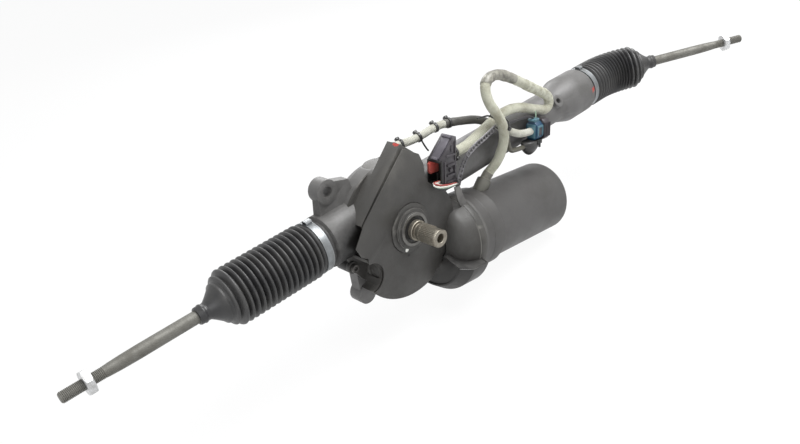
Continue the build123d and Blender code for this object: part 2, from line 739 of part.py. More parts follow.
def rotor():
    """Rotor core with magnets."""
    return WORM * ring_x(rotor_r, rotor_shaft_r, stator_from + 4, stator_to - 4)


def rotor_shaft():
    """Motor shaft with the driving half of the coupling."""
    shaft = tube_x(rotor_shaft_r, coupling_at + coupling_w, can_end - can_wall - 1)
    return WORM * shaft


def coupling():
    """Sleeve that joins worm and motor shafts."""
    sleeve = tube_x(coupling_r, coupling_at - coupling_w / 2, coupling_at + coupling_w * 1.5)
    sleeve -= tube_x(worm_shaft_r, 0, coupling_at - 1)
    sleeve -= tube_x(rotor_shaft_r, coupling_at + coupling_w, can_at)
    return WORM * sleeve


def neck_shroud():
    """Black shroud hung under the motor's neck, flared to its full radius and lipped at the joint ring."""
    inner_small, inner_full = cap_small_r - cap_wall, cap_r - cap_wall
    wall = Polyline((cap_from, inner_small), (cap_from, cap_small_r), (cap_full, cap_r), (cap_to, cap_r),
                    (cap_to, joint_ring_r), (cap_to - cap_wall, joint_ring_r), (cap_to - cap_wall, inner_full),
                    (cap_full, inner_full), close=True)
    shroud = revolve(Plane.XY * make_face(wall), Axis.X, revolution_arc=cap_back - cap_front)
    room = on_pinion(bar_y(drum_r + 1, -cap_r, cap_r))
    return WORM * Rot(180 + cap_front, 0, 0) * shroud - room


# ------------------------------------------------------------------ column shaft

def input_shaft():
    """Column shaft: spigot in the pinion, sensor seat, grooved neck and hollow splined end."""
    shaft = bar_y(spigot_r, pinion_nose, wheel_front + 9)
    shaft += bar_y(input_neck_r, input_neck_end, pinion_nose - loose)
    shaft += bar_y(spigot_r, pinion_nose - loose, pinion_nose)
    shaft += bar_y(input_r, input_tip, input_neck_end)
    shaft -= ring_y(input_neck_r + 1, input_neck_r - input_groove, input_neck_end + 3, input_neck_end + 5)
    shaft = chamfer(shaft.edges().group_by(Axis.Y)[0], 1.0)
    shaft -= bar_y(torsion_r, input_tip - 1, 0)
    shaft -= bar_y(input_bore_r, input_tip - 1, input_tip + 9)
    return on_pinion(shaft)


def torsion_bar():
    """Torsion bar pinned in the column shaft and reaching into the pinion."""
    bar = bar_y(torsion_r, input_tip + 9, input_tip + 28)
    bar += bar_y(torsion_waist_r, input_tip + 28, pinion_face / 2 - 14)
    bar += bar_y(torsion_r, pinion_face / 2 - 14, pinion_face / 2 - 4)
    return on_pinion(bar)


# ------------------------------------------------------------------ ball joints and tie rods

def ball_housing():
    """Cup about X with its ball centre at zero and its mouth at +X, on a threaded stub."""
    cup = turned_x((-ball_housing_back, 0), (-ball_housing_back, ball_housing_r), (ball_lip - 3, ball_housing_r),
                   (ball_lip, ball_housing_r - 2.5), (ball_lip, 0))
    cup += tube_x(stub_r, -ball_housing_back - washer_t - stub_len, -ball_housing_back)
    cup -= Sphere(ball_r + run_fit)
    pocket = Sphere(seat_r + run_fit) & tube_x(2 * seat_r, -2 * seat_r, ball_step)
    return cup - pocket


def lock_washer():
    """Washer between the rack's end and the ball housing."""
    return ring_x(washer_r, stub_r, -ball_housing_back - washer_t, -ball_housing_back)


def ball_seat():
    """Plastic pressure cup behind the ball."""
    reach = 2 * seat_r
    cone = turned_x((0, 0), (-reach, reach * tan(radians(seat_half_angle))), (-reach, 0))
    return (Sphere(seat_r) - Sphere(ball_r + run_fit)) & cone


def tie_rod():
    """Ball, neck, rod and threaded tip along +X from the ball's centre."""
    tip = thread_r - 1.5
    start = rod_len - thread_len
    rod = turned_x((0, 0), (0, rod_neck_r), (neck_len, rod_neck_r), (neck_len + 4, rod_r), (start - 3, rod_r),
                   (start, thread_seat_r), (thread_free, thread_seat_r), (thread_free, thread_r),
                   (rod_len - 1.5, thread_r), (rod_len, tip), (rod_len, 0))
    return rod + Sphere(ball_r)


def jam_nut():
    """Hexagon nut on the rod's thread, its corners rounded off."""
    nut = Rot(0, 90, 0) * extrude(RegularPolygon(nut_af / 2, 6, major_radius=False), nut_h / 2, both=True)
    corner = nut_af / sqrt(3)
    nut &= turned_x((-nut_h / 2, 0), (-nut_h / 2, nut_af / 2), (-nut_h / 2 + 1.2, corner),
                    (nut_h / 2 - 1.2, corner), (nut_h / 2, nut_af / 2), (nut_h / 2, 0))
    nut -= tube_x(thread_seat_r, -nut_h, nut_h)
    return Pos(rod_len - nut_at, 0, 0) * nut


# ------------------------------------------------------------------ boots and clamps

def fold_stations():
    """Distances from the clamp and radii of the folds: valley, crest, valley and so on."""
    step = (boot_fold_end - boot_fold_start) / (2 * boot_folds - 1)
    return [(boot_fold_start + i * step, boot_r - boot_fold * ((i + 1) % 2)) for i in range(2 * boot_folds)]


def near_boot():
    """Bellows boot along +X from its clamp: cuff, folds, cone and sleeve, hollow all through."""
    sleeve = boot_len - boot_sleeve_len
    outer = [(-collar_past, 0), (-collar_past, boot_cuff_r), (boot_fold_start - 2, boot_cuff_r)]
    outer += fold_stations()
    outer += [(sleeve, boot_sleeve_r), (boot_len, boot_sleeve_r), (boot_len, 0)]
    inner_r = boot_r - boot_fold - boot_wall
    room = turned_x((0, 0), (0, inner_r), (boot_fold_end, inner_r), (sleeve, rod_r + run_fit),
                    (boot_len + 1, rod_r + run_fit), (boot_len + 1, 0))
    return turned_x(*outer) - room - tube_x(collar_r, -collar_past - 1, collar_past)


def far_path(s):
    """Place and direction of the bent boot's middle line at the distance s from its clamp."""
    straight = pivot_out - far_bend_reach
    bend = radians(far_cone)
    radius = far_bend_reach / tan(bend / 2)
    arc = radius * bend
    if s <= straight:
        return s, 0.0, 0.0
    if s <= straight + arc:
        a = (s - straight) / radius
        return straight + radius * sin(a), radius * (1 - cos(a)), degrees(a)
    rest = s - straight - arc
    return (straight + radius * sin(bend) + rest * cos(bend),
            radius * (1 - cos(bend)) + rest * sin(bend), far_cone)


def ring_on_path(s, r):
    """Circle of radius r square to the bent middle line."""
    x, side, turn = far_path(s)
    return (Pos(x, side, 0) * Rot(0, 0, turn) * Rot(0, 90, 0) * Circle(r)).face()


def on_path(stations):
    """Straight-sided form through rings along the bent middle line."""
    return loft([ring_on_path(s, r) for s, r in stations], ruled=True)


def far_boot():
    """The same boot bent over to follow the swung tie rod."""
    share = far_boot_len / boot_len
    sleeve = far_boot_len - boot_sleeve_len
    folds = [(s * share, r) for s, r in fold_stations()]
    outer = on_path([(0, boot_cuff_r), (boot_fold_start * share - 2, boot_cuff_r)] + folds
                    + [(sleeve, boot_sleeve_r), (far_boot_len, boot_sleeve_r)])
    inner_r = boot_r - boot_fold - boot_wall
    straight = pivot_out - far_bend_reach
    bends = [(straight + i * far_arc / 4, inner_r) for i in range(5)]
    room = on_path([(-1, inner_r)] + bends
                   + [(boot_fold_end * share, inner_r), (sleeve, rod_r + run_fit)])
    room += FAR_BOOT.inverse() * FAR_ROD * tube_x(rod_r + run_fit, ball_r, rod_len)
    return outer + tube_x(boot_cuff_r, -collar_past, 0.5) - room - tube_x(collar_r, -collar_past - 1, collar_past)


def boot_clamp():
    """Crimped band clamp about X with its ear on top."""
    inner = boot_cuff_r + clamp_fit
    band = ring_x(inner + clamp_t, inner, -clamp_w / 2, clamp_w / 2)
    ear = Pos(0, 0, inner + (clamp_t + clamp_ear_h) / 2) * Box(clamp_w, clamp_ear_w, clamp_ear_h)
    return band + chamfer(ear.edges().filter_by(Axis.X), 1.2)


# ------------------------------------------------------------------ pieces round the shafts

def front_bearing():
    """Ball bearing on the pinion shaft in front of the wheel."""
    turned = Rot(0, 0, 90) * bearing(bearing_front_r, wheel_seat_r, bearing_w)
    return on_pinion(Pos(0, front_bearing_y - bearing_w / 2, 0) * turned)


def needle_bearing():
    """Needle sleeve behind the pinion."""
    return on_pinion(ring_y(needle_r, journal_r + run_fit, pinion_face / 2 + 1.5, needle_back))


def dust_cap():
    """Pressed cap in the barrel's rear end."""
    cap = bar_y(dust_cap_r, needle_back + 2, barrel_back - 1)
    return on_pinion(cap - bar_y(dust_cap_r - 2, barrel_back - 3, barrel_back))


def input_seal():
    """Lip seal between the hub's nose and the input shaft."""
    return on_pinion(ring_y(seal_r, input_neck_r + run_fit, hub_front + 0.5, hub_front + seal_w - 0.5))


def sensor_ring():
    """Magnet ring on the input shaft."""
    middle = (hub_front + seal_w + front_bearing_y - bearing_w) / 2
    return on_pinion(ring_y(sensor_ring_r, input_neck_r, middle - 1.8, middle + 0.6))


def sensor_board():
    """Torque sensor's ring seated in the hub."""
    middle = (hub_front + seal_w + front_bearing_y - bearing_w) / 2
    return on_pinion(ring_y(sensor_room_r, sensor_ring_r + 1.2, middle - 2.4, middle + 2.4))


def worm_bearing(side):
    """Ball bearing of the worm shaft on one side of the worm."""
    return WORM * Pos(side * worm_bearing_at, 0, 0) * bearing(worm_bearing_r, worm_shaft_r, bearing_w)


def worm_plug():
    """Threaded plug that closes the worm's bore."""
    start = left_boss_end + 2
    end = -worm_bearing_at - bearing_w / 2
    plug = tube_x(worm_bearing_r, start, end)
    plug -= tube_x(worm_shaft_r + 2, end - 4, end + 1)
    return WORM * (plug - Pos(start, 0, 0) * Rot(0, 90, 0) * extrude(RegularPolygon(6, 6), 6))


def motor_bearing(x0, wall):
    """Ball bearing of the rotor shaft, its inner end at x0."""
    return WORM * Pos(x0, 0, 0) * bearing(motor_bearing_r, rotor_shaft_r, wall)


# ------------------------------------------------------------------ harness

def corner_radii(points):
    """Radius of each corner of a cord's route, from its shorter run and its turn."""
    radii = []
    for a, b, c in zip(points, points[1:], points[2:]):
        first, second = Vector(*b) - Vector(*a), Vector(*c) - Vector(*b)
        turn = radians(first.get_angle(second))
        radii.append(0.45 * min(first.length, second.length) / tan(turn / 2))
    return radii


def cord(points, d):
    """Round cord of diameter d along straight runs joined by tangent arcs."""
    path = FilletPolyline(*points, radius=corner_radii(points))
    start = Plane(origin=path @ 0, z_dir=path % 0)
    return GEAR * sweep(start * Circle(d / 2), path=path)


def motor_cable():
    """Heavy cable from the motor's outlet, looped back to the main connector."""
    floor = outlet_len - outlet_bore + loop_start
    start = Pos(0, worm_y, -worm_drop) * OUTLET
    first = (start * Pos(0, 0, floor)).position
    second = (start * Pos(0, 0, floor + loop_first)).position
    return cord((tuple(first), tuple(second)) + loop_route, loop_d)


def main_connector():
    """Connector block with a slanted top and an open socket at its left end."""
    low, right = main_side[0], main_side[1]
    block = slab(make_face(Polyline(*main_side, close=True)), main_front, main_back)
    room = make_face(Polyline((low[0] - 1, low[1] + main_wall), (low[0] + main_socket_depth, right[1] + main_wall),
                              (low[0] + main_socket_depth, main_socket_top), (low[0] - 1, main_socket_top),
                              close=True))
    return GEAR * (block - slab(room, main_front + main_wall, main_back - main_wall))


def connector_insert():
    """Red lock held by the socket's floor and standing out of its mouth."""
    left, floor = main_side[0][0] - insert_out, main_side[0][0] + main_socket_depth
    insert = Box(floor - left, insert_w, insert_h, align=(Align.MIN, Align.CENTER, Align.MAX))
    return GEAR * Pos(left, (main_front + main_back) / 2, main_socket_top - main_wall) * insert


def plug_body(size):
    """Connector housing of the given size with its long edges cut off."""
    return chamfer(Box(*size).edges().filter_by(Axis.X), plug_corner)


def side_connector():
    """Round-shouldered blue connector at the end of its cable."""
    return SIDE * plug_body(side_size)


def side_latch():
    """Latch bridge on the blue connector."""
    return SIDE * Pos(0, 0, (side_size[2] + latch_size[2]) / 2) * Box(*latch_size)


def mating_connector():
    """Black half that the blue connector plugs into."""
    return SIDE * Pos((side_size[0] + mate_size[0]) / 2, 0, 0) * plug_body(mate_size)


def hanging_connector():
    """Dark housing that hangs under the blue connector."""
    drop = Pos((side_size[0] - hang_size[0]) / 2, 0, -(side_size[2] + hang_size[2]) / 2)
    return SIDE * drop * plug_body(hang_size)


# ------------------------------------------------------------------ nodes

NODES = {
    "rear_housing": rear_housing(),
    "front_casting": front_casting(),
    "front_shield": shield(),
    "case_screws": case_screws(),
    "rack_bush": rack_bush(),
    "yoke": yoke(),
    "yoke_spring": yoke_spring(),
    "yoke_plug": yoke_plug(),
    "yoke_locknut": yoke_locknut(),
    "front_bearing": front_bearing(),
    "needle_bearing": needle_bearing(),
    "dust_cap": dust_cap(),
    "input_seal": input_seal(),
    "torque_sensor": sensor_board(),
    "worm_bearing_outer": worm_bearing(-1),
    "worm_bearing_inner": worm_bearing(1),
    "worm_plug": worm_plug(),
    "motor_flange": motor_flange(),
    "motor_can": motor_can(),
    "motor_stator": stator(),
    "motor_bearing_front": motor_bearing(can_at - 4, 8),
    "motor_bearing_rear": motor_bearing(can_end - can_wall - 4, 8),
    "cable_outlet": cable_outlet(),
    "neck_shroud": neck_shroud(),
    "boot_near": Pos(clamp_near, 0, 0) * Rot(0, 0, 180) * near_boot(),
    "boot_far": FAR_BOOT * far_boot(),
    "clamp_near": Pos(clamp_near, 0, 0) * boot_clamp(),
    "clamp_far": Pos(clamp_far, 0, 0) * boot_clamp(),
    "main_connector": main_connector(),
    "connector_insert": connector_insert(),
    "side_connector": side_connector(),
    "side_latch": side_latch(),
    "mating_connector": mating_connector(),
    "hanging_connector": hanging_connector(),
    "loop_cable": motor_cable(),
    "sensor_cable": cord(sensor_route, sensor_d),
    "rack_bar": rack_bar(),
    "ball_housing_near": Pos(pivot_near, 0, 0) * Rot(0, 0, 180) * ball_housing(),
    "ball_housing_far": Pos(pivot_far, 0, 0) * ball_housing(),
    "lock_washer_near": Pos(pivot_near, 0, 0) * Rot(0, 0, 180) * lock_washer(),
    "lock_washer_far": Pos(pivot_far, 0, 0) * lock_washer(),
    "pinion_shaft": pinion_shaft(),
    "worm_wheel": worm_wheel(),
    "wheel_hub": wheel_hub(),
    "input_shaft": input_shaft(),
    "torsion_bar": torsion_bar(),
    "sensor_ring": sensor_ring(),
    "worm_shaft": worm_shaft(),
    "coupling": coupling(),
    "rotor_shaft": rotor_shaft(),
    "rotor": rotor(),
    "ball_seat_near": NEAR_ROD * ball_seat(),
    "ball_seat_far": FAR_SEAT * ball_seat(),
    "tie_rod_near": NEAR_ROD * tie_rod(),
    "tie_rod_far": FAR_ROD * tie_rod(),
    "jam_nut_near": NEAR_ROD * jam_nut(),
    "jam_nut_far": FAR_ROD * jam_nut(),
}

for i, (x, z) in enumerate(post_places):
    NODES[f"shield_post_{i + 1}"] = shield_post(x, z)

os.makedirs("parts", exist_ok=True)
for name, shape in NODES.items():
    export_step(DATUM * shape, f"parts/{name}.step")
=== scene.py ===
import math
import bmesh
import bpy
from mathutils import Matrix, Vector


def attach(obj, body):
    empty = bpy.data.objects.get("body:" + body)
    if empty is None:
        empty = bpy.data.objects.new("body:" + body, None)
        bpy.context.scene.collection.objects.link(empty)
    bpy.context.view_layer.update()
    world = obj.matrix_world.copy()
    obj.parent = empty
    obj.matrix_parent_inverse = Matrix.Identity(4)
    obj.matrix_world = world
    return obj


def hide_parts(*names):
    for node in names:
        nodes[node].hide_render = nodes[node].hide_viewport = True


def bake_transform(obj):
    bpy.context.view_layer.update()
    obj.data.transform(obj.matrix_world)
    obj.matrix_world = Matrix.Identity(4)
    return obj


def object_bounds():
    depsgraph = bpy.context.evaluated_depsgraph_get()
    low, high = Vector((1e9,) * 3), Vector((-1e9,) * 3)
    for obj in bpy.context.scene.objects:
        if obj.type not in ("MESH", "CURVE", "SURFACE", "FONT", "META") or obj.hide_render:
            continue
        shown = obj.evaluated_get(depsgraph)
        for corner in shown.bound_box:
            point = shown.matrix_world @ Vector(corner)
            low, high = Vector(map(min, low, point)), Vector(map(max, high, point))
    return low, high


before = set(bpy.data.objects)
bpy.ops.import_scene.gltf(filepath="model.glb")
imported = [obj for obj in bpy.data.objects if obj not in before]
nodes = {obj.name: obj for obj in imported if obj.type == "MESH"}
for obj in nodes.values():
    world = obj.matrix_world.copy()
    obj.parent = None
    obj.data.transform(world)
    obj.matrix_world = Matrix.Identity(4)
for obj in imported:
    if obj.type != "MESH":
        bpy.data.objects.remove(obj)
cad_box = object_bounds()
scene = bpy.context.scene

# ---- studio ----
# Pale floor just under the lowest point and a white backdrop, both white to the camera and to reflections.
# A wide soft lamp above, weaker ones from the left and the right, and one behind for the dark edges.

low, high = cad_box
middle = (low + high) / 2
reach, floor_gap = 8, 0.002


def make(tree, kind, inputs=None, **settings):
    """A new node with its settings; each input is linked to a socket or set to a value."""
    node = tree.nodes.new(kind)
    for title, value in settings.items():
        setattr(node, title, value)
    for slot, value in (inputs or {}).items():
        if isinstance(value, bpy.types.NodeSocket):
            tree.links.new(value, node.inputs[slot])
        else:
            node.inputs[slot].default_value = value
    return node


def calc(tree, operation, one, two=0.5):
    """Result of a Math node; each side is a socket or a number."""
    return make(tree, "ShaderNodeMath", {0: one, 1: two}, operation=operation).outputs[0]


def plain_material(name):
    """A new node material: itself, its tree and its Principled shader."""
    material = bpy.data.materials.new(name)
    material.use_nodes = True
    return material, material.node_tree, material.node_tree.nodes["Principled BSDF"]


def seen_white(tree, shaded, white, output, strength):
    """Shows the white shader to the camera, and to gloss and glass, in place of the shaded one."""
    path = make(tree, "ShaderNodeLightPath").outputs
    seen = calc(tree, "MAXIMUM", path["Is Camera Ray"], path["Is Glossy Ray"])
    seen = calc(tree, "MAXIMUM", seen, path["Is Transmission Ray"])
    mix = make(tree, "ShaderNodeMixShader", {0: calc(tree, "MULTIPLY", seen, strength), 1: shaded, 2: white})
    tree.links.new(mix.outputs[0], output)


def added(name, data):
    """A new object of that data, linked into the scene."""
    thing = bpy.data.objects.new(name, data)
    scene.collection.objects.link(thing)
    return thing


floor_material, tree, shader = plain_material("studio floor")
shader.inputs["Base Color"].default_value = (0.86, 0.86, 0.86, 1)
shader.inputs["Roughness"].default_value = 0.9
white = make(tree, "ShaderNodeEmission", {"Strength": 1})
seen_white(tree, shader.outputs[0], white.outputs[0], tree.nodes["Material Output"].inputs["Surface"], 0.93)
floor_mesh = bpy.data.meshes.new("floor")
floor_mesh.from_pydata([(x * reach, y * reach, low.z - floor_gap) for x, y in ((-1, -1), (1, -1), (1, 1), (-1, 1))],
                       [], [(0, 1, 2, 3)])
floor_mesh.materials.append(floor_material)
floor = added("floor", floor_mesh)

world = bpy.data.worlds.new("studio")
scene.world = world
world.use_nodes = True
tree = world.node_tree
background = tree.nodes["Background"]
background.inputs["Color"].default_value = (0.80, 0.82, 0.85, 1)
background.inputs["Strength"].default_value = 0.5
backdrop = make(tree, "ShaderNodeBackground", {"Color": (1, 1, 1, 1), "Strength": 1})
seen_white(tree, background.outputs[0], backdrop.outputs[0], tree.nodes["World Output"].inputs["Surface"], 1)

for name, away, size, power in (("top softbox", (0.35, -0.35, 1.55), 1.3, 40),
                                ("left softbox", (-1.6, -0.8, 0.9), 1.2, 9),
                                ("right strip", (1, -0.45, 1.4), 0.7, 9),
                                ("rear strip", (0.9, 1.4, 0.9), 0.9, 14)):
    data = bpy.data.lights.new(name, "AREA")
    data.size = size
    data.energy = power
    softbox = added(name, data)
    softbox.location = middle + Vector(away)
    softbox.rotation_euler = (middle - softbox.location).to_track_quat("-Z", "Y").to_euler()


def moved(x, y=0, z=0):
    """Matrix of a move."""
    return Matrix.Translation((x, y, z))


# A camera from the near end, above the shaft, with a focal length of 720 pixels at a width of 800
film, focal_pixels, width_pixels = 36, 720, 800
sight = Vector((0.5665, 0.6725, -0.4764)).normalized()
right = Vector((0.6983, -0.6987, -0.1558))
right = (right - sight * right.dot(sight)).normalized()
up = right.cross(sight)
camera_data = bpy.data.cameras.new("camera")
camera_data.sensor_width = film
camera_data.lens = film * focal_pixels / width_pixels
camera_data.clip_start = 0.01
camera = added("camera", camera_data)
camera.matrix_world = moved(-0.417, -0.6193, 0.3445) @ Matrix((right, up, -sight)).transposed().to_4x4()
scene.camera = camera
scene.view_settings.view_transform = "Standard"

# ---- castings ----
# Rear housing with its long tube, and the front casting with the pinion box and the motor's neck:
# sand-cast aluminium in thin dark grey paint, machined at the joint, with paint rubbed off the edges.

mm = 0.001
tilt = 9
lug_bolt = -80, 4, 57
pinion_drop = 19.546


def turned_by(degrees, axis):
    """Matrix of a turn about an axis."""
    return Matrix.Rotation(math.radians(degrees), 4, axis)


WORK = Matrix.Scale(mm, 4) @ moved(*(-x for x in lug_bolt))
GEAR = WORK @ moved(0, 0, -pinion_drop) @ turned_by(tilt, "Y")
MOTOR = GEAR @ moved(0, -24.6, -47)


def node_group(name, kind, inputs, outputs):
    """A new node group: itself, its input's sockets and its output node. An input is a number or a socket type."""
    group = bpy.data.node_groups.new(name, kind)
    for title, value in inputs.items():
        typed = isinstance(value, str)
        socket = group.interface.new_socket(title, in_out="INPUT", socket_type=value if typed else "NodeSocketFloat")
        if not typed:
            socket.default_value = value
    for title, socket_type in outputs.items():
        group.interface.new_socket(title, in_out="OUTPUT", socket_type=socket_type)
    return group, group.nodes.new("NodeGroupInput").outputs, group.nodes.new("NodeGroupOutput")


def surface_group():
    """Fine grain, large soft soiling, and a mask of convex edges for scuffed paint and for painted highlights, as
    values over the surface.
    """
    group, given, end = node_group(
        "wear and highlight", "ShaderNodeTree", {"Grain Scale": 900, "Soil Scale": 30, "Edge From": 0.53, "Edge To": 0.60},
        dict.fromkeys(("Grain", "Soil", "Edge"), "NodeSocketFloat"))
    where = make(group, "ShaderNodeTexCoord").outputs["Object"]
    grain = make(group, "ShaderNodeTexNoise", {"Vector": where, "Scale": given["Grain Scale"], "Detail": 3})
    soil = make(group, "ShaderNodeTexNoise", {"Vector": where, "Scale": given["Soil Scale"], "Detail": 6,
                                              "Roughness": 0.65})
    spread = make(group, "ShaderNodeMapRange", {"From Min": 0.42, "From Max": 0.66, "Value": soil.outputs["Fac"]})
    edge = make(group, "ShaderNodeMapRange", {
        "Value": make(group, "ShaderNodeNewGeometry").outputs["Pointiness"], "From Min": given["Edge From"],
        "From Max": given["Edge To"]})
    scuffed_and_highlit_edges = calc(group, "MULTIPLY", edge.outputs["Result"], spread.outputs["Result"])
    for title, value in (("Grain", grain.outputs["Fac"]), ("Soil", spread.outputs["Result"]), ("Edge", scuffed_and_highlit_edges)):
        group.links.new(value, end.inputs[title])
    return group


WEAR_AND_HIGHLIGHT_GROUP = surface_group()


def srgb(colour):
    """A colour of 0 to 255 per channel as the shader's linear values."""
    return tuple((c / 255) ** 2.2 for c in colour) + (1,)


def mixed(tree, factor, first, second):
    """A colour between two, by a factor's socket; each colour is a value or a socket."""
    return make(tree, "ShaderNodeMix", {"Factor": factor, 6: first, 7: second}, data_type="RGBA").outputs[2]


def spot(tree, place, radius, ragged=0, soft=0.0006):
    """Mask of a round patch about a place on the object, 1 inside, with a ragged or a soft rim."""
    where = make(tree, "ShaderNodeTexCoord").outputs["Object"]
    distance = make(tree, "ShaderNodeVectorMath", {0: where, 1: place}, operation="DISTANCE")
    noise = make(tree, "ShaderNodeTexNoise", {"Vector": where, "Scale": 260})
    wave = calc(tree, "MULTIPLY", noise.outputs["Fac"], ragged)
    rim = radius + ragged * 0.5
    edge = make(tree, "ShaderNodeMapRange", {"From Min": rim, "From Max": rim - soft,
                                             "Value": calc(tree, "ADD", distance.outputs["Value"], wave)})
    return edge.outputs["Result"]


def bumped(tree, shader, height, depth, strength):
    """Gives a shader the relief of a height socket."""
    bump = make(tree, "ShaderNodeBump", {"Distance": depth, "Strength": strength, "Height": height})
    tree.links.new(bump.outputs["Normal"], shader.inputs["Normal"])


def finish(name, colour, soiled, edge_wear_and_highlight, rough, metal=0, grain=900, depth=0.00012, soil=30,
           soiling=0.6, edge_wear_and_highlight_amount=0.5, marks=()):
    """Material of a grainy, soiled surface: its colour, soiled colour, an edge colour that is scuffed paint on some
    materials and painted highlight on others, roughness range, grain, and marks of paint and of painted shade.
    """
    material, tree, shader = plain_material(name)
    wear_and_highlight_masks = make(tree, "ShaderNodeGroup", node_tree=WEAR_AND_HIGHLIGHT_GROUP)
    wear_and_highlight_masks.inputs["Grain Scale"].default_value = grain
    wear_and_highlight_masks.inputs["Soil Scale"].default_value = soil
    tint = mixed(tree, calc(tree, "MULTIPLY", wear_and_highlight_masks.outputs["Soil"], soiling), srgb(colour), srgb(soiled))
    # The edge colour is scuffed paint on some materials and a painted highlight on others, such as the boots.
    tint = mixed(tree, calc(tree, "MULTIPLY", wear_and_highlight_masks.outputs["Edge"], edge_wear_and_highlight_amount), tint, srgb(edge_wear_and_highlight))
    for place, radius, ragged, mark, *soft in marks:
        tint = mixed(tree, spot(tree, place, radius, ragged, *soft), tint, srgb(mark))
    tree.links.new(tint, shader.inputs["Base Color"])
    dulled = make(tree, "ShaderNodeMapRange", {"Value": wear_and_highlight_masks.outputs["Soil"], "To Min": rough[0], "To Max": rough[1]})
    tree.links.new(dulled.outputs["Result"], shader.inputs["Roughness"])
    shader.inputs["Metallic"].default_value = metal
    bumped(tree, shader, wear_and_highlight_masks.outputs["Grain"], depth, 0.6)
    return material


def paint(objects, material):
    """Gives pieces one material."""
    for piece in objects:
        piece.data.materials.clear()
        piece.data.materials.append(material)


def smooth_by_angle(mesh, angle):
    """Smooth faces, sharp where two faces meet at more than the angle."""
    mesh.polygons.foreach_set("use_smooth", [True] * len(mesh.polygons))
    work = bmesh.new()
    work.from_mesh(mesh)
    for edge in work.edges:
        if len(edge.link_faces) == 2 and edge.calc_face_angle(0) > angle:
            edge.smooth = False
    work.to_mesh(mesh)
    work.free()


def worked_out(thing):
    """The plain mesh of an object with modifiers, or of a curve."""
    bpy.context.view_layer.update()
    return bpy.data.meshes.new_from_object(thing.evaluated_get(bpy.context.evaluated_depsgraph_get()))


def settled(piece, material):
    """Turns an object with a modifier into a plain painted piece."""
    piece.data = worked_out(piece)
    piece.modifiers.clear()
    smooth_by_angle(piece.data, 0.5)
    paint([piece], material)


def dressed(node, material, width=0.0008, body="housing"):
    """A CAD node's form with rounded edges, standing for the node."""
    work = bmesh.new()
    work.from_mesh(nodes[node].data)
    bmesh.ops.remove_doubles(work, verts=work.verts, dist=0.00002)
    bmesh.ops.dissolve_limit(work, angle_limit=0.01, verts=work.verts, edges=work.edges)
    mesh = bpy.data.meshes.new(node + "_dressed")
    work.to_mesh(mesh)
    work.free()
    piece = added(node + "_dressed", mesh)
    rounding = piece.modifiers.new("rounding", "BEVEL")
    rounding.width = width
    rounding.segments = 2
    rounding.limit_method = "ANGLE"
    rounding.angle_limit = 0.6
    rounding.use_clamp_overlap = True
    rounding.harden_normals = False
    settled(piece, material)
    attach(piece, body)
    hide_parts(node)


def at(place, *point):
    """A point of a place, in the row frame, as a tuple."""
    return tuple(place @ Vector(point))


apex_red = (150, 52, 44)
cast_paint = finish("dark grey cast paint", (60, 59, 57), (48, 46, 43), (140, 138, 132), (0.46, 0.64), grain=620,
    depth=0.00035, soil=26, soiling=0.8, marks=((at(GEAR, -5, -32, 104), 0.0058, 0.006, apex_red),
    (at(GEAR, -8.4, -43.8, -26.2), 0.0030, 0.001, (214, 214, 208)), (at(GEAR, -5, -42.8, -34), 0.0022, 0.001,
    (26, 24, 24))))
# The dark patch on the tube paint round the pinion end is painted shade; the red patch at the far end is marking
# paint.
pinion_end_painted_shade, far_red = at(WORK, -70, -26, -18), at(WORK, 421, -27, 6)
tube_paint = finish("grey tube paint", (90, 89, 88), (66, 65, 63), (150, 149, 147), (0.44, 0.62), grain=620,
    depth=0.0003, soil=18, soiling=0.85, marks=((pinion_end_painted_shade, 0.056, 0.010, (24, 23, 22), 0.030),
    (far_red, 0.007, 0.010, apex_red)))
dressed("rear_housing", tube_paint)
dressed("front_casting", cast_paint)

# ---- shield over the pinion box ----
# Pressed steel plate 1.6 mm thick in the same grey, on three spacers, with red marking paint on its
# top corner. Spacers and socket screws are plain steel, blackened.

plate_paint = finish("shield paint", (57, 56, 54), (47, 45, 43), (146, 144, 138), (0.42, 0.60), grain=480,
    depth=0.0002, soil=20, soiling=0.7, marks=((at(GEAR, -4.6, -42.8, -34.6), 0.0022, 0.001, (26, 24, 24)),))
dressed("front_shield", plate_paint, width=0.0005)
blackened = finish("blackened steel", (84, 82, 80), (54, 52, 50), (150, 147, 142), (0.35, 0.6), metal=0.7,
    grain=700, soil=90)
dressed("case_screws", blackened, width=0.0004)
paint([nodes[f"shield_post_{i}"] for i in (1, 2, 3)], blackened)

# ---- yoke, bearings and bushes ----
# Steel yoke under its spring and plug, ball bearings, plastic bush and cup seats: mostly hidden
# inside the castings, turned or moulded, and pressed or slid into place.

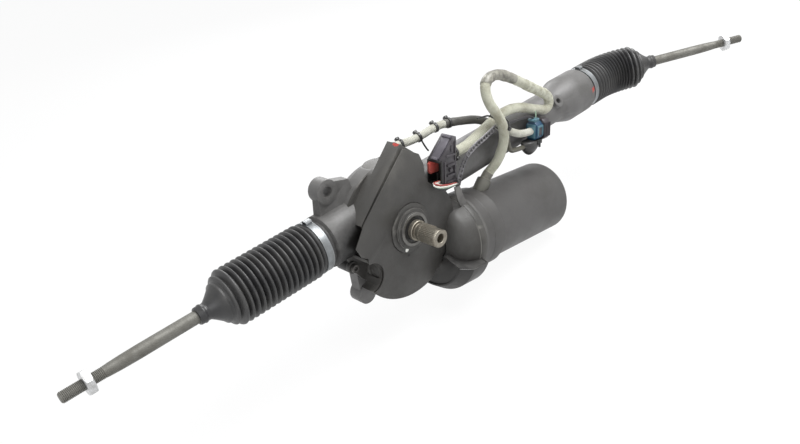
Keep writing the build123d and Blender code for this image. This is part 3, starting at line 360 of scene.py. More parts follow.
bearing_steel = finish("bearing steel", (176, 176, 178), (128, 126, 122), (215, 215, 215), (0.16, 0.34), metal=1,
    grain=1500, depth=0.00003, soil=60)
ground_steel = finish("ground steel", (150, 150, 150), (104, 100, 96), (200, 200, 200), (0.22, 0.42), metal=1,
    grain=1200, depth=0.00004, soil=50)
moulded_white = finish("natural plastic", (206, 202, 188), (170, 160, 138), (225, 222, 212), (0.4, 0.6), grain=900,
    depth=0.00006)
winding = finish("varnished core", (112, 84, 66), (70, 56, 48), (150, 120, 96), (0.3, 0.55), metal=0.5, grain=500,
    depth=0.0002)
rubber_black = finish("seal rubber", (38, 38, 38), (54, 53, 50), (70, 70, 68), (0.45, 0.65), grain=700,
    depth=0.0001)
for name, material, slot_name in (
        ("yoke yoke_spring rack_bar pinion_shaft wheel_hub torsion_bar worm_shaft coupling rotor_shaft",
         ground_steel, "rack_steel"),
        ("front_bearing needle_bearing worm_bearing_outer worm_bearing_inner motor_bearing_front motor_bearing_rear",
         bearing_steel, "bearing_steel"),
        ("lock_washer_near lock_washer_far", bearing_steel, "zinc"),
        ("rack_bush ball_seat_near ball_seat_far", moulded_white, "seat_plastic"),
        ("worm_wheel", moulded_white, "wheel_plastic"), ("dust_cap", rubber_black, "seal_rubber"),
        ("torque_sensor", rubber_black, "black_plastic"), ("motor_stator sensor_ring rotor", winding, "motor_core"),
        ("ball_housing_near ball_housing_far", blackened, "rod_steel")):
    paint([nodes[node] for node in name.split()], material)
dressed("yoke_locknut", cast_paint, width=0.0004)
dressed("yoke_plug", cast_paint, width=0.0004)
dressed("worm_plug", blackened, width=0.0004)

# ---- column shaft and its seal ----
# Hollow steel shaft with a serrated end and a clamping flat, turned and rolled, coming out of the
# casting's nose through a black lip seal inside a bright machined face.

SHAFT = WORK @ moved(0, 0, -pinion_drop) @ turned_by(-90, "Z")


def shown(name, work, material, stands_for=(), angle=0.6, body="housing"):
    """Makes a worked mesh a piece: outward faces, smooth by angle, material, body and nodes it stands for."""
    bmesh.ops.remove_doubles(work, verts=work.verts, dist=0.000005)
    bmesh.ops.recalc_face_normals(work, faces=work.faces)
    mesh = bpy.data.meshes.new(name)
    work.to_mesh(mesh)
    work.free()
    smooth_by_angle(mesh, angle)
    piece = added(name, mesh)
    paint([piece], material)
    if body:
        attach(piece, body)
    if stands_for:
        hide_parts(*stands_for)
    return piece


def turned(work, stations, place, around=72, shape=None, loop=False):
    """Adds a form turned about the place's X axis from (distance, radius) stations; radius 0 is a pole.
    The shape may vary a radius by distance and angle, and the place may depend on the distance."""
    rings = []
    for s, r in stations:
        here = place(s) if callable(place) else place @ moved(s)
        if r == 0:
            rings.append([work.verts.new(here @ Vector((0, 0, 0)))])
            continue
        ring = []
        for k in range(around):
            a = 2 * math.pi * k / around
            radius = shape(s, a, r) if shape else r
            ring.append(work.verts.new(here @ Vector((0, radius * math.cos(a), radius * math.sin(a)))))
        rings.append(ring)
    for one, two in list(zip(rings, rings[1:])) + ([(rings[-1], rings[0])] if loop else []):
        for k in range(around):
            n = (k + 1) % around
            corners = []
            for corner in (one[k % len(one)], one[n % len(one)], two[n % len(two)], two[k % len(two)]):
                if corner not in corners:
                    corners.append(corner)
            if len(corners) > 2:
                work.faces.new(corners)


def lathed(name, forms, place, material, slot_name, stands_for=(), angle=0.6, body="housing", **how):
    """A piece of one or more turned forms, each given by its stations."""
    work = bmesh.new()
    for stations in forms:
        turned(work, stations, place, **how)
    return shown(name, work, material, stands_for, angle, body)


def skinned(work, rings, closed=True):
    """Faces from each ring of vertices to the next, and over the first and the last ring if it is closed."""
    for ring, after in zip(rings, rings[1:]):
        for k in range(len(ring)):
            n = (k + 1) % len(ring)
            work.faces.new((ring[k], ring[n], after[n], after[k]))
    if closed:
        work.faces.new(rings[0])
        work.faces.new(list(reversed(rings[-1])))


serration_count, serration_depth, serrated_from = 36, 0.45, 66
flat_from, flat_depth, flat_angle = 78, 9.7, math.radians(62)
column_r, bore_r = 11.6, 5.5


def serrated(s, angle, radius):
    """Serrations and one flat on the shaft's outer end."""
    if s < serrated_from or radius < 9.9:
        return radius
    if radius > 11:
        radius -= serration_depth * (0.5 + 0.5 * math.cos(serration_count * angle))
    if s > flat_from:
        across = math.cos(angle - flat_angle)
        if across > 0.2:
            radius = min(radius, flat_depth / across)
    return radius


column_steel = finish("column steel", (142, 137, 126), (96, 88, 78), (190, 186, 176), (0.34, 0.56), metal=0.85,
    grain=500, depth=0.00025, soil=110, soiling=0.8)
lathed("column_shaft", [
    [(22.6, 0), (22.6, 6), (39.2, 6), (39.6, 6), (39.6, 9.5), (50.6, 9.5), (50.8, 12.2), (51.4, 12.7),
     (56.2, 12.7), (57, 12.2), (57.2, 9.5), (58, 8.6), (59.6, 8.6), (60, 10.6), (62.4, 10.9), (63, 11.4),
     (65.9, column_r), (66.1, column_r)] + [(66.5 + i * 2.4, column_r) for i in range(5)]
    + [(77.9, column_r), (78.1, column_r)] + [(80 + i * 2.8, column_r) for i in range(5)]
    + [(92, 11.2), (92.4, 10.5), (92.35, 6.2), (91.6, bore_r), (83.4, bore_r), (83.4, 0)]],
       SHAFT, column_steel, "column_steel", ("input_shaft",), 0.5, "input", around=180, shape=serrated)
lathed("shaft_seal", [[(46.9, 14.4), (46.9, 9.6), (49.6, 9.6), (50, 10.4), (49.3, 12), (49.9, 14), (49.9, 14.4)]],
    SHAFT, rubber_black, "seal_rubber", ("input_seal",), loop=True)
machined = finish("dull machined face", (96, 95, 92), (74, 72, 69), (150, 149, 146), (0.34, 0.5), metal=0.6,
    grain=1600, depth=0.00004, soil=80)
cover_at = 55.95
lathed("yoke_cover", [[(cover_at + 0.1, 0), (cover_at + 0.1, 15.9), (cover_at + 0.9, 16), (cover_at + 1.4, 15.4),
    (cover_at + 1.5, 0)]], WORK @ turned_by(-90, "Y"), cast_paint, "casting_paint")
lathed("nose_ring", [[(50.2, 17.3), (50.6, 17.6), (50.6, 21), (50.2, 21.3)], [(45.6, 25.2), (45.9, 25.5),
    (46.8, 25.5), (47, 25.2)]], SHAFT, machined, "casting_paint", around=96, loop=True)

# ---- motor ----
# Drawn steel can on a cast flange, in dark grey paint, bolted to the casting's neck: rolled seam,
# pressed end with its bearing cup, a rubber outlet for the cable on top and a black shroud below.

plug_at = -46.4
motor_paint = finish("dark grey motor paint", (67, 66, 65), (56, 54, 52), (150, 148, 144), (0.46, 0.58), grain=520,
    depth=0.00018, soil=14, soiling=0.7, edge_wear_and_highlight_amount=0.4)
lathed("flange_ring", [[(100, 13.5), (100, 54.6), (100.6, 55.2), (104.6, 55.2), (105.2, 54.3), (106.4, 54), (118, 54),
    (118.5, 53.7), (119, 54), (137.6, 54), (138.6, 53.2), (139, 52.4), (139, 13.5), (131, 13.5), (131, 5.4),
    (114, 5.4), (114, 13.5)]], MOTOR, motor_paint, "motor_paint", ("motor_flange",), 0.5, around=128, loop=True)
lathed("can_shell", [[(139, 47.2), (139, 51.6), (140.6, 51.8), (142.2, 51.6), (142.8, 50.6), (143.6, 50.2),
    (286.2, 50.2), (287.6, 49.9), (288.9, 49.1), (289.7, 48), (290, 46.6), (290, 40), (289.2, 38.6), (289.2, 20),
    (289.9, 18.8), (290, 17.4), (290, 0)], [(139, 47.2), (287, 47.2), (287, 16), (279, 16), (279, 13), (287, 13),
    (287, 0)]], MOTOR, motor_paint, "motor_paint", ("motor_can",), 0.5, around=128)
outlet_rubber = finish("grey outlet rubber", (92, 91, 84), (70, 69, 64), (130, 129, 120), (0.5, 0.68), grain=500,
    depth=0.0002, soil=90)
dressed("cable_outlet", outlet_rubber, width=0.0012)
shroud_plastic = finish("black shroud plastic", (30, 29, 28), (42, 40, 38), (88, 87, 84), (0.42, 0.6), grain=560,
    depth=0.0002, soil=22)
dressed("neck_shroud", shroud_plastic)


def sector(name, section, start, end, material, steps=60):
    """Closed part of a form turned about the motor, between two angles in degrees, from its section."""
    work = bmesh.new()
    angles = [math.radians(start + (end - start) * k / steps) for k in range(steps + 1)]
    skinned(work, [[work.verts.new(at(MOTOR, x, r * math.cos(a), r * math.sin(a))) for x, r in section]
                   for a in angles])
    shown(name, work, material, (), 0.5)


sector("shroud_rim", [(52, 26), (51.4, 40), (51.4, 51.6), (52.4, 54.2), (55, 56.4), (66.4, 63), (92, 63), (92, 26)],
    198.4, 329.6, shroud_plastic)
sector("neck_flare", [(60.5, 20), (61.5, 29), (64, 37), (67.5, 43.2), (71.5, 47.4), (75.5, 49.5), (79.5, 50.6),
    (83, 52.2), (86, 52.7), (88.2, 53.8), (89.9, 54.7), (89.9, 20)], 84, 338, cast_paint)
lathed("plug_face", [[(plug_at + s, r) for s, r in ((3, 0), (3, 10.6), (0, 10.8), (-0.4, 10.4), (0, 9.4), (0.5, 9),
                                                    (0.5, 4.2), (1.1, 3.6), (1.1, 0))]],
       MOTOR, cast_paint, "casting_paint")

# ---- tie rods and their nuts ----
# Forged rods with a ball inside each boot, rolled M12 threads at the tips, and zinc-plated
# hexagon nuts run up the thread.

thread_pitch, thread_r, thread_root_r, thread_from, thread_to = 1.5, 6, 5.25, 187, 228.4
ball_r = 13
NEAR_ROD = WORK @ moved(-183) @ turned_by(180, "Z")
FAR_ROD = WORK @ moved(503) @ turned_by(-38, "Z") @ turned_by(-4, "Y")


def threaded(s, angle, radius):
    """Rolled thread between the rod's shoulder and its tip."""
    if s < thread_from or s > thread_to or radius < 5.5:
        return radius
    turn = (s / thread_pitch - angle / (2 * math.pi)) % 1
    crest = 1 - abs(2 * turn - 1)
    return thread_root_r + (thread_r - thread_root_r) * min(1, 1.5 * crest)


rod_steel = finish("dull rod steel", (102, 101, 96), (86, 84, 78), (168, 167, 160), (0.52, 0.68), metal=0.35,
    grain=420, depth=0.00015, soil=60, soiling=0.7)
zinc = finish("bright zinc plate", (206, 207, 208), (150, 149, 146), (214, 214, 214), (0.30, 0.46), metal=0.7,
    grain=900, depth=0.00005, soil=90)
for side, place in (("near", NEAR_ROD), ("far", FAR_ROD)):
    ball = [(-ball_r * math.cos(math.pi * i / 24), ball_r * math.sin(math.pi * i / 24)) for i in range(1, 21)]
    lathed(f"tie_rod_{side}_turned", [
        [(-ball_r, 0)] + [p for p in ball if p[0] < 11.6]
        + [(12, 5.5), (21, 5.5), (22.6, 5.9), (25, 7), (26, 7.2), (150, 7.2), (168, 6.9),
           (180, 6.4), (184.5, 6.1), (186.5, 5.9)]
        + [(thread_from + i * thread_pitch / 4, thread_r) for i in range(111)]
        + [(228.8, 5.6), (230, 4.5), (230, 0)]],
           place, rod_steel, "rod_steel", (f"tie_rod_{side}",), 0.7, f"rod_{side}", around=40, shape=threaded)
    dressed(f"jam_nut_{side}", zinc, width=0.0005, body=f"rod_{side}")

# ---- boots and their clamps ----
# Blow-moulded rubber bellows from the housing to the tie rods, each held on its collar by a zinc
# band drawn tight at an ear. Each boot is three pieces along its length.

fold_pitch, fold_low, fold_high, rubber_t = 7.24, 27.9, 33.4, 1.7
fold_start, fold_count, fold_steps = 9, 14, 8
sleeve_start, boot_end = 143, 155
near_cuff, far_cuff = -113, 433
cuff_r, sleeve_r, rod_hole_r = 30.6, 9.8, 7.3


def boot_outline():
    """Outer (distance, radius) of the boot: cuff, rounded folds, cone and sleeve."""
    line = [(-8, cuff_r - 0.5), (-7.6, cuff_r), (6.4, cuff_r), (7.4, cuff_r - 0.6), (fold_start, fold_low)]
    for i in range(fold_count):
        for k in range(1, fold_steps + 1):
            swell = 0.5 - 0.5 * math.cos(2 * math.pi * k / fold_steps)
            line.append((fold_start + (i + k / fold_steps) * fold_pitch,
                         fold_low + (fold_high - fold_low) * swell ** 0.7))
    line += [(111.6, 30.9), (112.8, 32.5), (114.2, 33.1), (115.4, 32.6), (116.6, 30.4), (117.6, 27.6), (118.6, 26.6),
             (119.6, 27.4), (120.8, 28.8), (121.8, 28.9), (123, 27.4), (124, 24.8), (125, 23.2), (126, 22.9),
             (127.4, 23.4), (128.6, 22.8), (131, 19.5), (138, 13.6), (141.6, 10.9), (sleeve_start, 10)]
    line += [(144.6, sleeve_r), (147, sleeve_r), (147.6, sleeve_r + 0.7), (149.2, sleeve_r + 0.9),
             (150, sleeve_r + 0.2), (154.2, sleeve_r), (boot_end, sleeve_r - 0.6)]
    return line


# The boot rubber's light edge colour is a painted highlight on the crests of the folds.
boot_rubber = finish("boot rubber", (44, 44, 45), (58, 57, 55), (96, 96, 96), (0.36, 0.54), grain=520,
    depth=0.00012, soil=24, soiling=0.7, edge_wear_and_highlight_amount=0.5)
outline = boot_outline()
travel_end, bend_end = fold_start + 11 * fold_pitch, 124


def boot_piece(name, low_s, high_s, place, stretch, stands_for=()):
    """One closed length of a boot, between two distances along it."""
    part = [(s * stretch if s > 0 else s, r) for s, r in outline if low_s - 0.01 <= s <= high_s + 0.01]
    inner = [(s, max(r - rubber_t, rod_hole_r)) for s, r in reversed(part)]
    return lathed(name, [part + inner], place, boot_rubber, "boot_rubber", stands_for, 1.2, None, around=88,
                  loop=True)


NEAR_BOOT = WORK @ moved(near_cuff) @ turned_by(180, "Z")
far_swing, far_lift, bend_reach, pivot_out = math.radians(38), math.radians(4), 32, 70
far_cone = math.acos(math.cos(far_swing) * math.cos(far_lift))
far_roll = math.atan2(math.sin(far_lift), -math.sin(far_swing) * math.cos(far_lift))
FAR_BOOT = WORK @ moved(far_cuff) @ Matrix.Rotation(far_roll, 4, "X")
bend_radius = bend_reach / math.tan(far_cone / 2)
bend_arc = bend_radius * far_cone
far_stretch = (boot_end - 2 * bend_reach + bend_arc) / boot_end


def far_place(s):
    """Place and direction of the bent boot's middle line at a distance along it."""
    straight = pivot_out - bend_reach
    if s <= straight:
        return FAR_BOOT @ moved(s)
    if s <= straight + bend_arc:
        turn = (s - straight) / bend_radius
        spot_at = (straight + bend_radius * math.sin(turn), bend_radius * (1 - math.cos(turn)), 0)
        return FAR_BOOT @ moved(*spot_at) @ Matrix.Rotation(turn, 4, "Z")
    rest = s - straight - bend_arc
    spot_at = (straight + bend_radius * math.sin(far_cone) + rest * math.cos(far_cone),
               bend_radius * (1 - math.cos(far_cone)) + rest * math.sin(far_cone), 0)
    return FAR_BOOT @ moved(*spot_at) @ Matrix.Rotation(far_cone, 4, "Z")


def near_place(s):
    """Place of the straight boot's middle line at a distance along it."""
    return NEAR_BOOT @ moved(s)


for side, place, stretch in (("near", near_place, 1), ("far", far_place, far_stretch)):
    bounds = (-9, travel_end, bend_end, boot_end)
    ends = ((fold_start, travel_end), (travel_end, bend_end), (bend_end, sleeve_start))
    for i, title in enumerate(("travel", "bend", "sleeve")):
        piece = boot_piece(f"boot_{side}_{title}", bounds[i], bounds[i + 1], place, stretch,
                           (f"boot_{side}",) if i == 0 else ())
        start, end = (place(s * stretch) @ Vector((0, 0, 0)) for s in ends[i])
        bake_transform(piece)

band_steel = finish("band steel", (132, 135, 137), (104, 105, 104), (176, 178, 180), (0.34, 0.5), metal=0.85,
    grain=800, depth=0.00006, soil=90)
band_r, band_t, band_w, lip = 30.75, 1.1, 9.5, 0.35
half = band_w / 2
ear_side = ((4.4, 0.2), (3.4, 0.3), (2.9, 2.6), (3.2, 3.6), (2.6, 4.6), (1.4, 5))
ear_out = ((4.4, 1.3), (3.6, 1.5), (3.9, 2.8), (4.2, 3.8), (3.3, 5.4), (1.6, 6))
ear = ([(-y, z) for y, z in ear_side] + list(reversed(ear_side)) + list(ear_out)
       + [(-y, z) for y, z in reversed(ear_out)])
for side, x in (("near", near_cuff), ("far", far_cuff)):
    place = WORK @ moved(x)
    band = bmesh.new()
    turned(band, [(-half, band_r), (-half, band_r + band_t + lip), (-half + 1, band_r + band_t + lip),
                  (-half + 1.5, band_r + band_t), (half - 1.5, band_r + band_t), (half - 1, band_r + band_t + lip),
                  (half, band_r + band_t + lip), (half, band_r)], place, around=96, loop=True)
    skinned(band, [[band.verts.new(at(place, along, y, band_r + z - 0.9)) for y, z in ear]
                   for along in (-half + 0.6, half - 0.6)])
    shown(f"band_{side}", band, band_steel, (f"clamp_{side}",))

# ---- cables ----
# Motor cable and sensor cable, each a bundle of wires in a woven sleeve, with a taped stretch,
# cable ties and a holed strap that hold the loop together above the rack.


def weave_group():
    """Crossed threads of a braided sleeve, as a height and as the dark gaps between threads."""
    group, given, end = node_group("braided sleeve", "ShaderNodeTree", {"Threads": 18},
                                   dict.fromkeys(("Height", "Gap"), "NodeSocketFloat"))
    where = make(group, "ShaderNodeUVMap", uv_map="sleeve").outputs["UV"]
    split = make(group, "ShaderNodeSeparateXYZ", {0: where}).outputs
    around, along = (calc(group, "MULTIPLY", split[i], given["Threads"]) for i in (0, 1))
    first, second = (calc(group, "SINE", calc(group, "MULTIPLY", calc(group, way, around, along), 2 * math.pi))
                     for way in ("ADD", "SUBTRACT"))
    cross = calc(group, "ADD", calc(group, "MULTIPLY", calc(group, "MULTIPLY", first, second), 0.5), 0.5)
    gap = make(group, "ShaderNodeMapRange", {"From Min": 0.42, "From Max": 0.12, "Value": cross})
    group.links.new(cross, end.inputs["Height"])
    group.links.new(gap.outputs["Result"], end.inputs["Gap"])
    return group


WEAVE = weave_group()


def woven(name, thread, stained, gap, threads=18):
    """Material of a braided sleeve: thread colour, its stains and the gaps."""
    material, tree, shader = plain_material(name)
    weave = make(tree, "ShaderNodeGroup", node_tree=WEAVE)
    weave.inputs["Threads"].default_value = threads
    wear_and_highlight_masks = make(tree, "ShaderNodeGroup", node_tree=WEAR_AND_HIGHLIGHT_GROUP)
    wear_and_highlight_masks.inputs["Soil Scale"].default_value = 45
    tint = mixed(tree, calc(tree, "MULTIPLY", wear_and_highlight_masks.outputs["Soil"], 0.8), srgb(thread), srgb(stained))
    tint = mixed(tree, calc(tree, "MULTIPLY", weave.outputs["Gap"], 0.75), tint, srgb(gap))
    tree.links.new(tint, shader.inputs["Base Color"])
    shader.inputs["Roughness"].default_value = 0.72
    shader.inputs["Sheen Weight"].default_value = 0.15
    bumped(tree, shader, weave.outputs["Height"], 0.0006, 0.8)
    return material


def smooth_line(name, points):
    """Points along the smooth line that a cable with these route points, in gear millimetres, follows."""
    curve = bpy.data.curves.new(name, "CURVE")
    curve.dimensions = "3D"
    spline = curve.splines.new("NURBS")
    spline.points.add(len(points) - 1)
    for point, place in zip(spline.points, points):
        point.co = (*(GEAR @ Vector(place)), 1)
    spline.order_u = 3
    spline.use_endpoint_u = True
    spline.resolution_u = 10
    holder = added(name, curve)
    mesh = worked_out(holder)
    line = [v.co.copy() for v in mesh.vertices]
    bpy.data.objects.remove(holder)
    bpy.data.meshes.remove(mesh)
    return line


def distances(line):
    """Distance of each point of a line from its start."""
    total = [0]
    for a, b in zip(line, line[1:]):
        total.append(total[-1] + (b - a).length)
    return total


def point_at(line, distance):
    """Place and direction of a line at a distance from its start."""
    run = distances(line)
    for i in range(len(line) - 1):
        if run[i + 1] >= distance or i == len(line) - 2:
            step = line[i + 1] - line[i]
            return line[i] + step * ((distance - run[i]) / max(step.length, 1e-9)), step.normalized()


def between(line, start, end):
    """The part of a line between two distances."""
    run = distances(line)
    inside = [p for p, d in zip(line, run) if start < d < end]
    return [point_at(line, start)[0]] + inside + [point_at(line, end)[0]]


def sleeve(name, line, radius, material, stands_for=(), around=28, lumps=0, step=0.0015):
    """Closed tube along a line, with a UV map of turns around and turns along."""
    length = distances(line)[-1]
    count = max(2, int(length / step))
    work = bmesh.new()
    layer = work.loops.layers.uv.new("sleeve")
    side = None
    rings, places = [], []
    for i in range(count + 1):
        s = length * i / count
        centre, ahead = point_at(line, s)
        if side is None:
            side = ahead.orthogonal().normalized()
        side = (side - ahead * side.dot(ahead)).normalized()
        over = ahead.cross(side)
        swell = 1 + lumps * (math.sin(s * 170) + 0.6 * math.sin(s * 410 + 1.3))
        rings.append([work.verts.new(centre + (side * math.cos(a) + over * math.sin(a)) * radius * swell)
                      for a in (2 * math.pi * k / around for k in range(around))])
        places.append(s / (2 * math.pi * radius))
    for i in range(count):
        for k in range(around):
            n = (k + 1) % around
            quad = work.faces.new((rings[i][k], rings[i][n], rings[i + 1][n], rings[i + 1][k]))
            for corner, (u, v) in zip(quad.loops, ((k, i), (k + 1, i), (k + 1, i + 1), (k, i + 1))):
                corner[layer].uv = (u / around, places[v])
    work.faces.new(rings[0])
    work.faces.new(rings[-1])
    return shown(name, work, material, stands_for, 1)


loop_route = ((157.535, -24.6, 8.775), (167.177, -24.6, 20.266), (174, -36, 37), (178.5, -42, 58), (175, -47.5, 80),
    (163, -49, 102), (147, -41, 125), (150, -33, 149), (177, -30, 155), (207, -30, 145), (236, -30, 131.5),
    (268, -30, 117), (300, -30, 102), (295, -31, 83), (262, -30, 91), (228, -29, 101), (196, -29, 101),
    (165, -30, 91), (131, -33, 79.5), (101, -37, 72), (77, -37, 72))
sensor_route = ((10, -17, 87), (10, -3, 87), (24, 5, 88), (45, 3, 88), (63, 0, 91), (84, -2, 97.5), (107, -4, 100.2),
    (135.6, -8, 98), (160, -10, 95), (177, -14, 89), (192, -26, 80), (208, -37, 70), (227, -38, 64), (247, -38, 64))
beige_sleeve = woven("beige braided sleeve", (186, 186, 168), (136, 132, 112), (84, 82, 72))
pale_sleeve = woven("pale braided sleeve", (192, 192, 180), (150, 148, 134), (96, 94, 86), threads=14)
tape = finish("wiring tape", (64, 63, 60), (84, 82, 76), (96, 94, 90), (0.4, 0.6), grain=380, depth=0.0003,
    soil=60)
tie_black = finish("tie nylon", (26, 26, 26), (44, 43, 42), (80, 80, 80), (0.35, 0.5), grain=500)
loop_line, sensor_line = smooth_line("loop line", loop_route), smooth_line("sensor line", sensor_route)
loop = sleeve("motor_cable", loop_line, 0.00665, beige_sleeve, stands_for=("loop_cable",), lumps=0.012)
sensor = sleeve("sensor_cable", sensor_line, 0.00515, pale_sleeve, stands_for=("sensor_cable",), lumps=0.012)

# ---- connectors ----
# Moulded plastic plugs: the main housing on the casting with its slide lock, black socket and red
# locking piece, and the blue sensor plug in its dark mate with a capped half hanging under it.


def moulded(name, boxes, place, material, rounding=0.0004, stands_for=()):
    """Boxes, each from one corner to the other in millimetres at a place, as one piece with rounded edges."""
    work = bmesh.new()
    for box in boxes:
        corners = [work.verts.new(at(place, x, y, z)) for x in box[::3] for y in box[1::3] for z in box[2::3]]
        for face in ((0, 1, 3, 2), (4, 6, 7, 5), (0, 4, 5, 1), (2, 3, 7, 6), (0, 2, 6, 4), (1, 5, 7, 3)):
            work.faces.new([corners[i] for i in face])
    bmesh.ops.bevel(work, geom=list(work.edges), offset=rounding, segments=2, profile=0.5, affect="EDGES",
                    clamp_overlap=True)
    shown(name, work, material, stands_for, 0.7)


# The dark violet plastic's light edge colour is a painted highlight along the moulded edges of the plug and its
# clips.
violet_plastic, slide_plastic, socket_black, lock_red, blue_plastic, teal_plastic, mate_plastic, cap_plastic = (
    finish(name, *colours, rough, grain=grain, depth=depth, soil=soil)
    for name, colours, rough, grain, depth, soil in (
        ("dark violet plastic", ((50, 47, 50), (40, 38, 41), (104, 100, 106)), (0.34, 0.5), 700, 0.00008, 60),
        ("grey violet slide", ((84, 81, 87), (66, 64, 69), (130, 126, 134)), (0.32, 0.46), 700, 0.00008, 60),
        ("socket black", ((24, 25, 24), (36, 36, 35), (60, 60, 60)), (0.4, 0.6), 800, 0.00006, 30),
        ("lock red", ((190, 84, 76), (146, 58, 52), (222, 136, 126)), (0.34, 0.5), 800, 0.00006, 120),
        ("deep blue plastic", ((30, 62, 86), (20, 42, 60), (76, 122, 148)), (0.3, 0.46), 700, 0.00008, 120),
        ("teal latch plastic", ((70, 104, 116), (52, 80, 92), (124, 156, 162)), (0.32, 0.46), 700, 0.00008, 120),
        ("mate plastic", ((46, 42, 46), (36, 34, 37), (100, 95, 102)), (0.34, 0.5), 700, 0.00008, 90),
        ("capped plug plastic", ((48, 47, 46), (38, 37, 36), (100, 98, 96)), (0.34, 0.5), 600, 0.0001, 70)))

dressed("main_connector", violet_plastic, width=0.0011)
slope = GEAR @ moved(51, -50, 72) @ turned_by(-45, "Y")
moulded("slide_lock", [(1.5, 6.4, -0.5, 33, 18.4, 1.7), (31, 5.4, -0.4, 34.6, 19.6, 2.9),
    (-1, 7.4, -0.6, 2.4, 17.4, 2.5), (8, 5.6, -0.3, 26, 7.2, 2.2), (8, 17.6, -0.3, 26, 19.2, 2.2)], slope,
    slide_plastic)
moulded("plug_clips", [(53.4, -51.6, 43, 56, -49.4, 70), (58.6, -52, 50, 73.4, -49.4, 52.6),
    (58.6, -52, 62.8, 73.4, -49.4, 65.4), (71.2, -52.3, 51.4, 74.2, -49.4, 64), (62, -52.6, 55.6, 67.2, -49.4, 59.6),
    (57.4, -51.4, 75, 75.6, -49.4, 77.4), (66, -51.2, 80, 68.6, -49.4, 89), (72.6, -51.2, 68, 75, -49.4, 93),
    (58, -51, 41, 75, -49.4, 44.4)], GEAR, violet_plastic)
moulded("socket_rim", [(49.6, -49.7, 39.3, 51.9, -47.2, 71), (49.6, -28.3, 39.3, 51.9, -25.8, 71),
    (49.7, -47.6, 39.2, 51.8, -27.9, 41.8), (49.7, -47.6, 68.7, 51.8, -27.9, 71.1),
    (51, -47.7, 41.3, 66.9, -47.1, 69.2), (51, -28.4, 41.3, 66.9, -27.8, 69.2),
    (51.1, -47.4, 41.2, 66.8, -28.1, 41.9), (51.1, -47.4, 68.6, 66.8, -28.1, 69.3),
    (63, -47.2, 41.8, 67.1, -28.3, 68.8), (54, -38.6, 42.2, 64, -37.4, 54)], GEAR, socket_black,
    rounding=0.0002)
moulded("red_lock", [(48.6, -32.4, 53, 63.4, -28, 68), (46.6, -32, 55.6, 49.2, -28.4, 66.6)],
        GEAR, lock_red, stands_for=("connector_insert",))

SIDE = GEAR @ moved(254, -38, 64)
dressed("side_connector", blue_plastic, width=0.0012)
moulded("side_grip", [(-8.6, -7, -9.5, -6.4, 7, 9.5), (-9.6, -4.6, -6, -6.4, 4.6, 6),
    (-6, -10.9, -6.4, -3.6, -9.2, 8), (3.6, -10.9, -6.4, 6.2, -9.2, 8), (-5.4, -10.8, 5.4, 5.6, -9.4, 8.2)], SIDE,
    teal_plastic)
moulded("side_notch", [(-3.2, -10.5, -5.6, 3.2, -9, 4.6)], SIDE, mate_plastic)
moulded("side_lip", [(-6, -5, 12.4, 4.2, 5, 14.6), (-7.6, -5.4, 14.2, 4, 5.4, 17), (-10.4, -4.4, 15, -7, 4.4, 16.6)],
    SIDE, teal_plastic, stands_for=("side_latch",))
dressed("mating_connector", mate_plastic, width=0.0016)
moulded("mate_ribs", [(x, -12.9, -10, x + 1.4, -11.2, 10) for x in (8.6, 12, 15.4, 18.8)]
        + [(6.6, -12.6, -11, 8, 12.6, 11)], SIDE, mate_plastic)


def flattened(s, angle, radius):
    """Oval section twice as long as it is wide."""
    return radius / math.sqrt(math.sin(angle) ** 2 + (math.cos(angle) / 0.58) ** 2)


lathed("capped_plug", [[(0, 0), (0, 14.6), (0.8, 16.2), (3.6, 16.8), (4.4, 16), (5.4, 16), (6.2, 16.6), (10, 15.6),
    (13.6, 13), (16.6, 9.8), (18.8, 6.4), (20.2, 3.2), (20.6, 0)]], SIDE @ moved(-10, 0, -12.8) @ turned_by(90, "Y"),
    cap_plastic, "black_plastic", ("hanging_connector",), around=56, shape=flattened)
moulded("plug_clasp", [(-5, -9.9, -18, 5.4, 9.6, -12.2), (-1.6, -10.4, -23, 1.8, -8.4, -13)], SIDE,
        socket_black)

# ---- tape, ties, strap and loose wires ----
# Cloth tape wound on the loop's top and on the sensor cable, nylon ties drawn round the cables, a
# holed moulded strap along the motor cable, and thin wires from the plugs into the bundle.


def nearest(line, place):
    """Distance along a line of its point nearest to a place in gear millimetres."""
    target = GEAR @ Vector(place)
    return min(zip(distances(line), line), key=lambda item: (item[1] - target).length)[0]


def wrapped(name, line, start, end, radius, material, lumps=0.02):
    """Layer of tape or sleeve on a cable between two places in gear millimetres."""
    stretch = between(line, nearest(line, start), nearest(line, end))
    sleeve(name, stretch, radius, material, around=32, lumps=lumps, step=0.001)


def tie(name, centres, across, radius, tail=(), width=3.4, thick=1.1):
    """Flat nylon band round one or two cables in the plane across a direction, its lock and its tail."""
    normal = (GEAR.to_3x3() @ Vector(across)).normalized()
    places = [GEAR @ Vector(c) for c in centres]
    places = [p - normal * (p - places[0]).dot(normal) for p in places]
    span = places[-1] - places[0] if len(places) > 1 else normal.orthogonal()
    one = span.normalized()
    two = normal.cross(one)
    work = bmesh.new()
    rings = []
    for k in range(56):
        angle = 2 * math.pi * (k + 0.5) / 56
        centre = places[-1] if math.cos(angle) > 0 else places[0]
        out = one * math.cos(angle) + two * math.sin(angle)
        rings.append([work.verts.new(centre + (out * r + normal * w) * mm)
                      for r, w in ((radius, -width / 2), (radius + thick, -width / 2),
                                   (radius + thick, width / 2), (radius, width / 2))])
    skinned(work, rings + rings[:1], closed=False)
    shown(name, work, tie_black)
    lock = Matrix((one, two, normal)).transposed().to_4x4()
    lock.translation = places[-1]
    lock = lock @ Matrix.Scale(mm, 4)
    moulded(name + "_lock", [(radius - 0.2, -2.6, -2.4, radius + 4, 2.6, 2.4)], lock, tie_black,
            rounding=0.0005)
    if tail:
        sleeve(name + "_tail", smooth_line(name + " tail line", tail), 0.0011, tie_black,
               around=10)


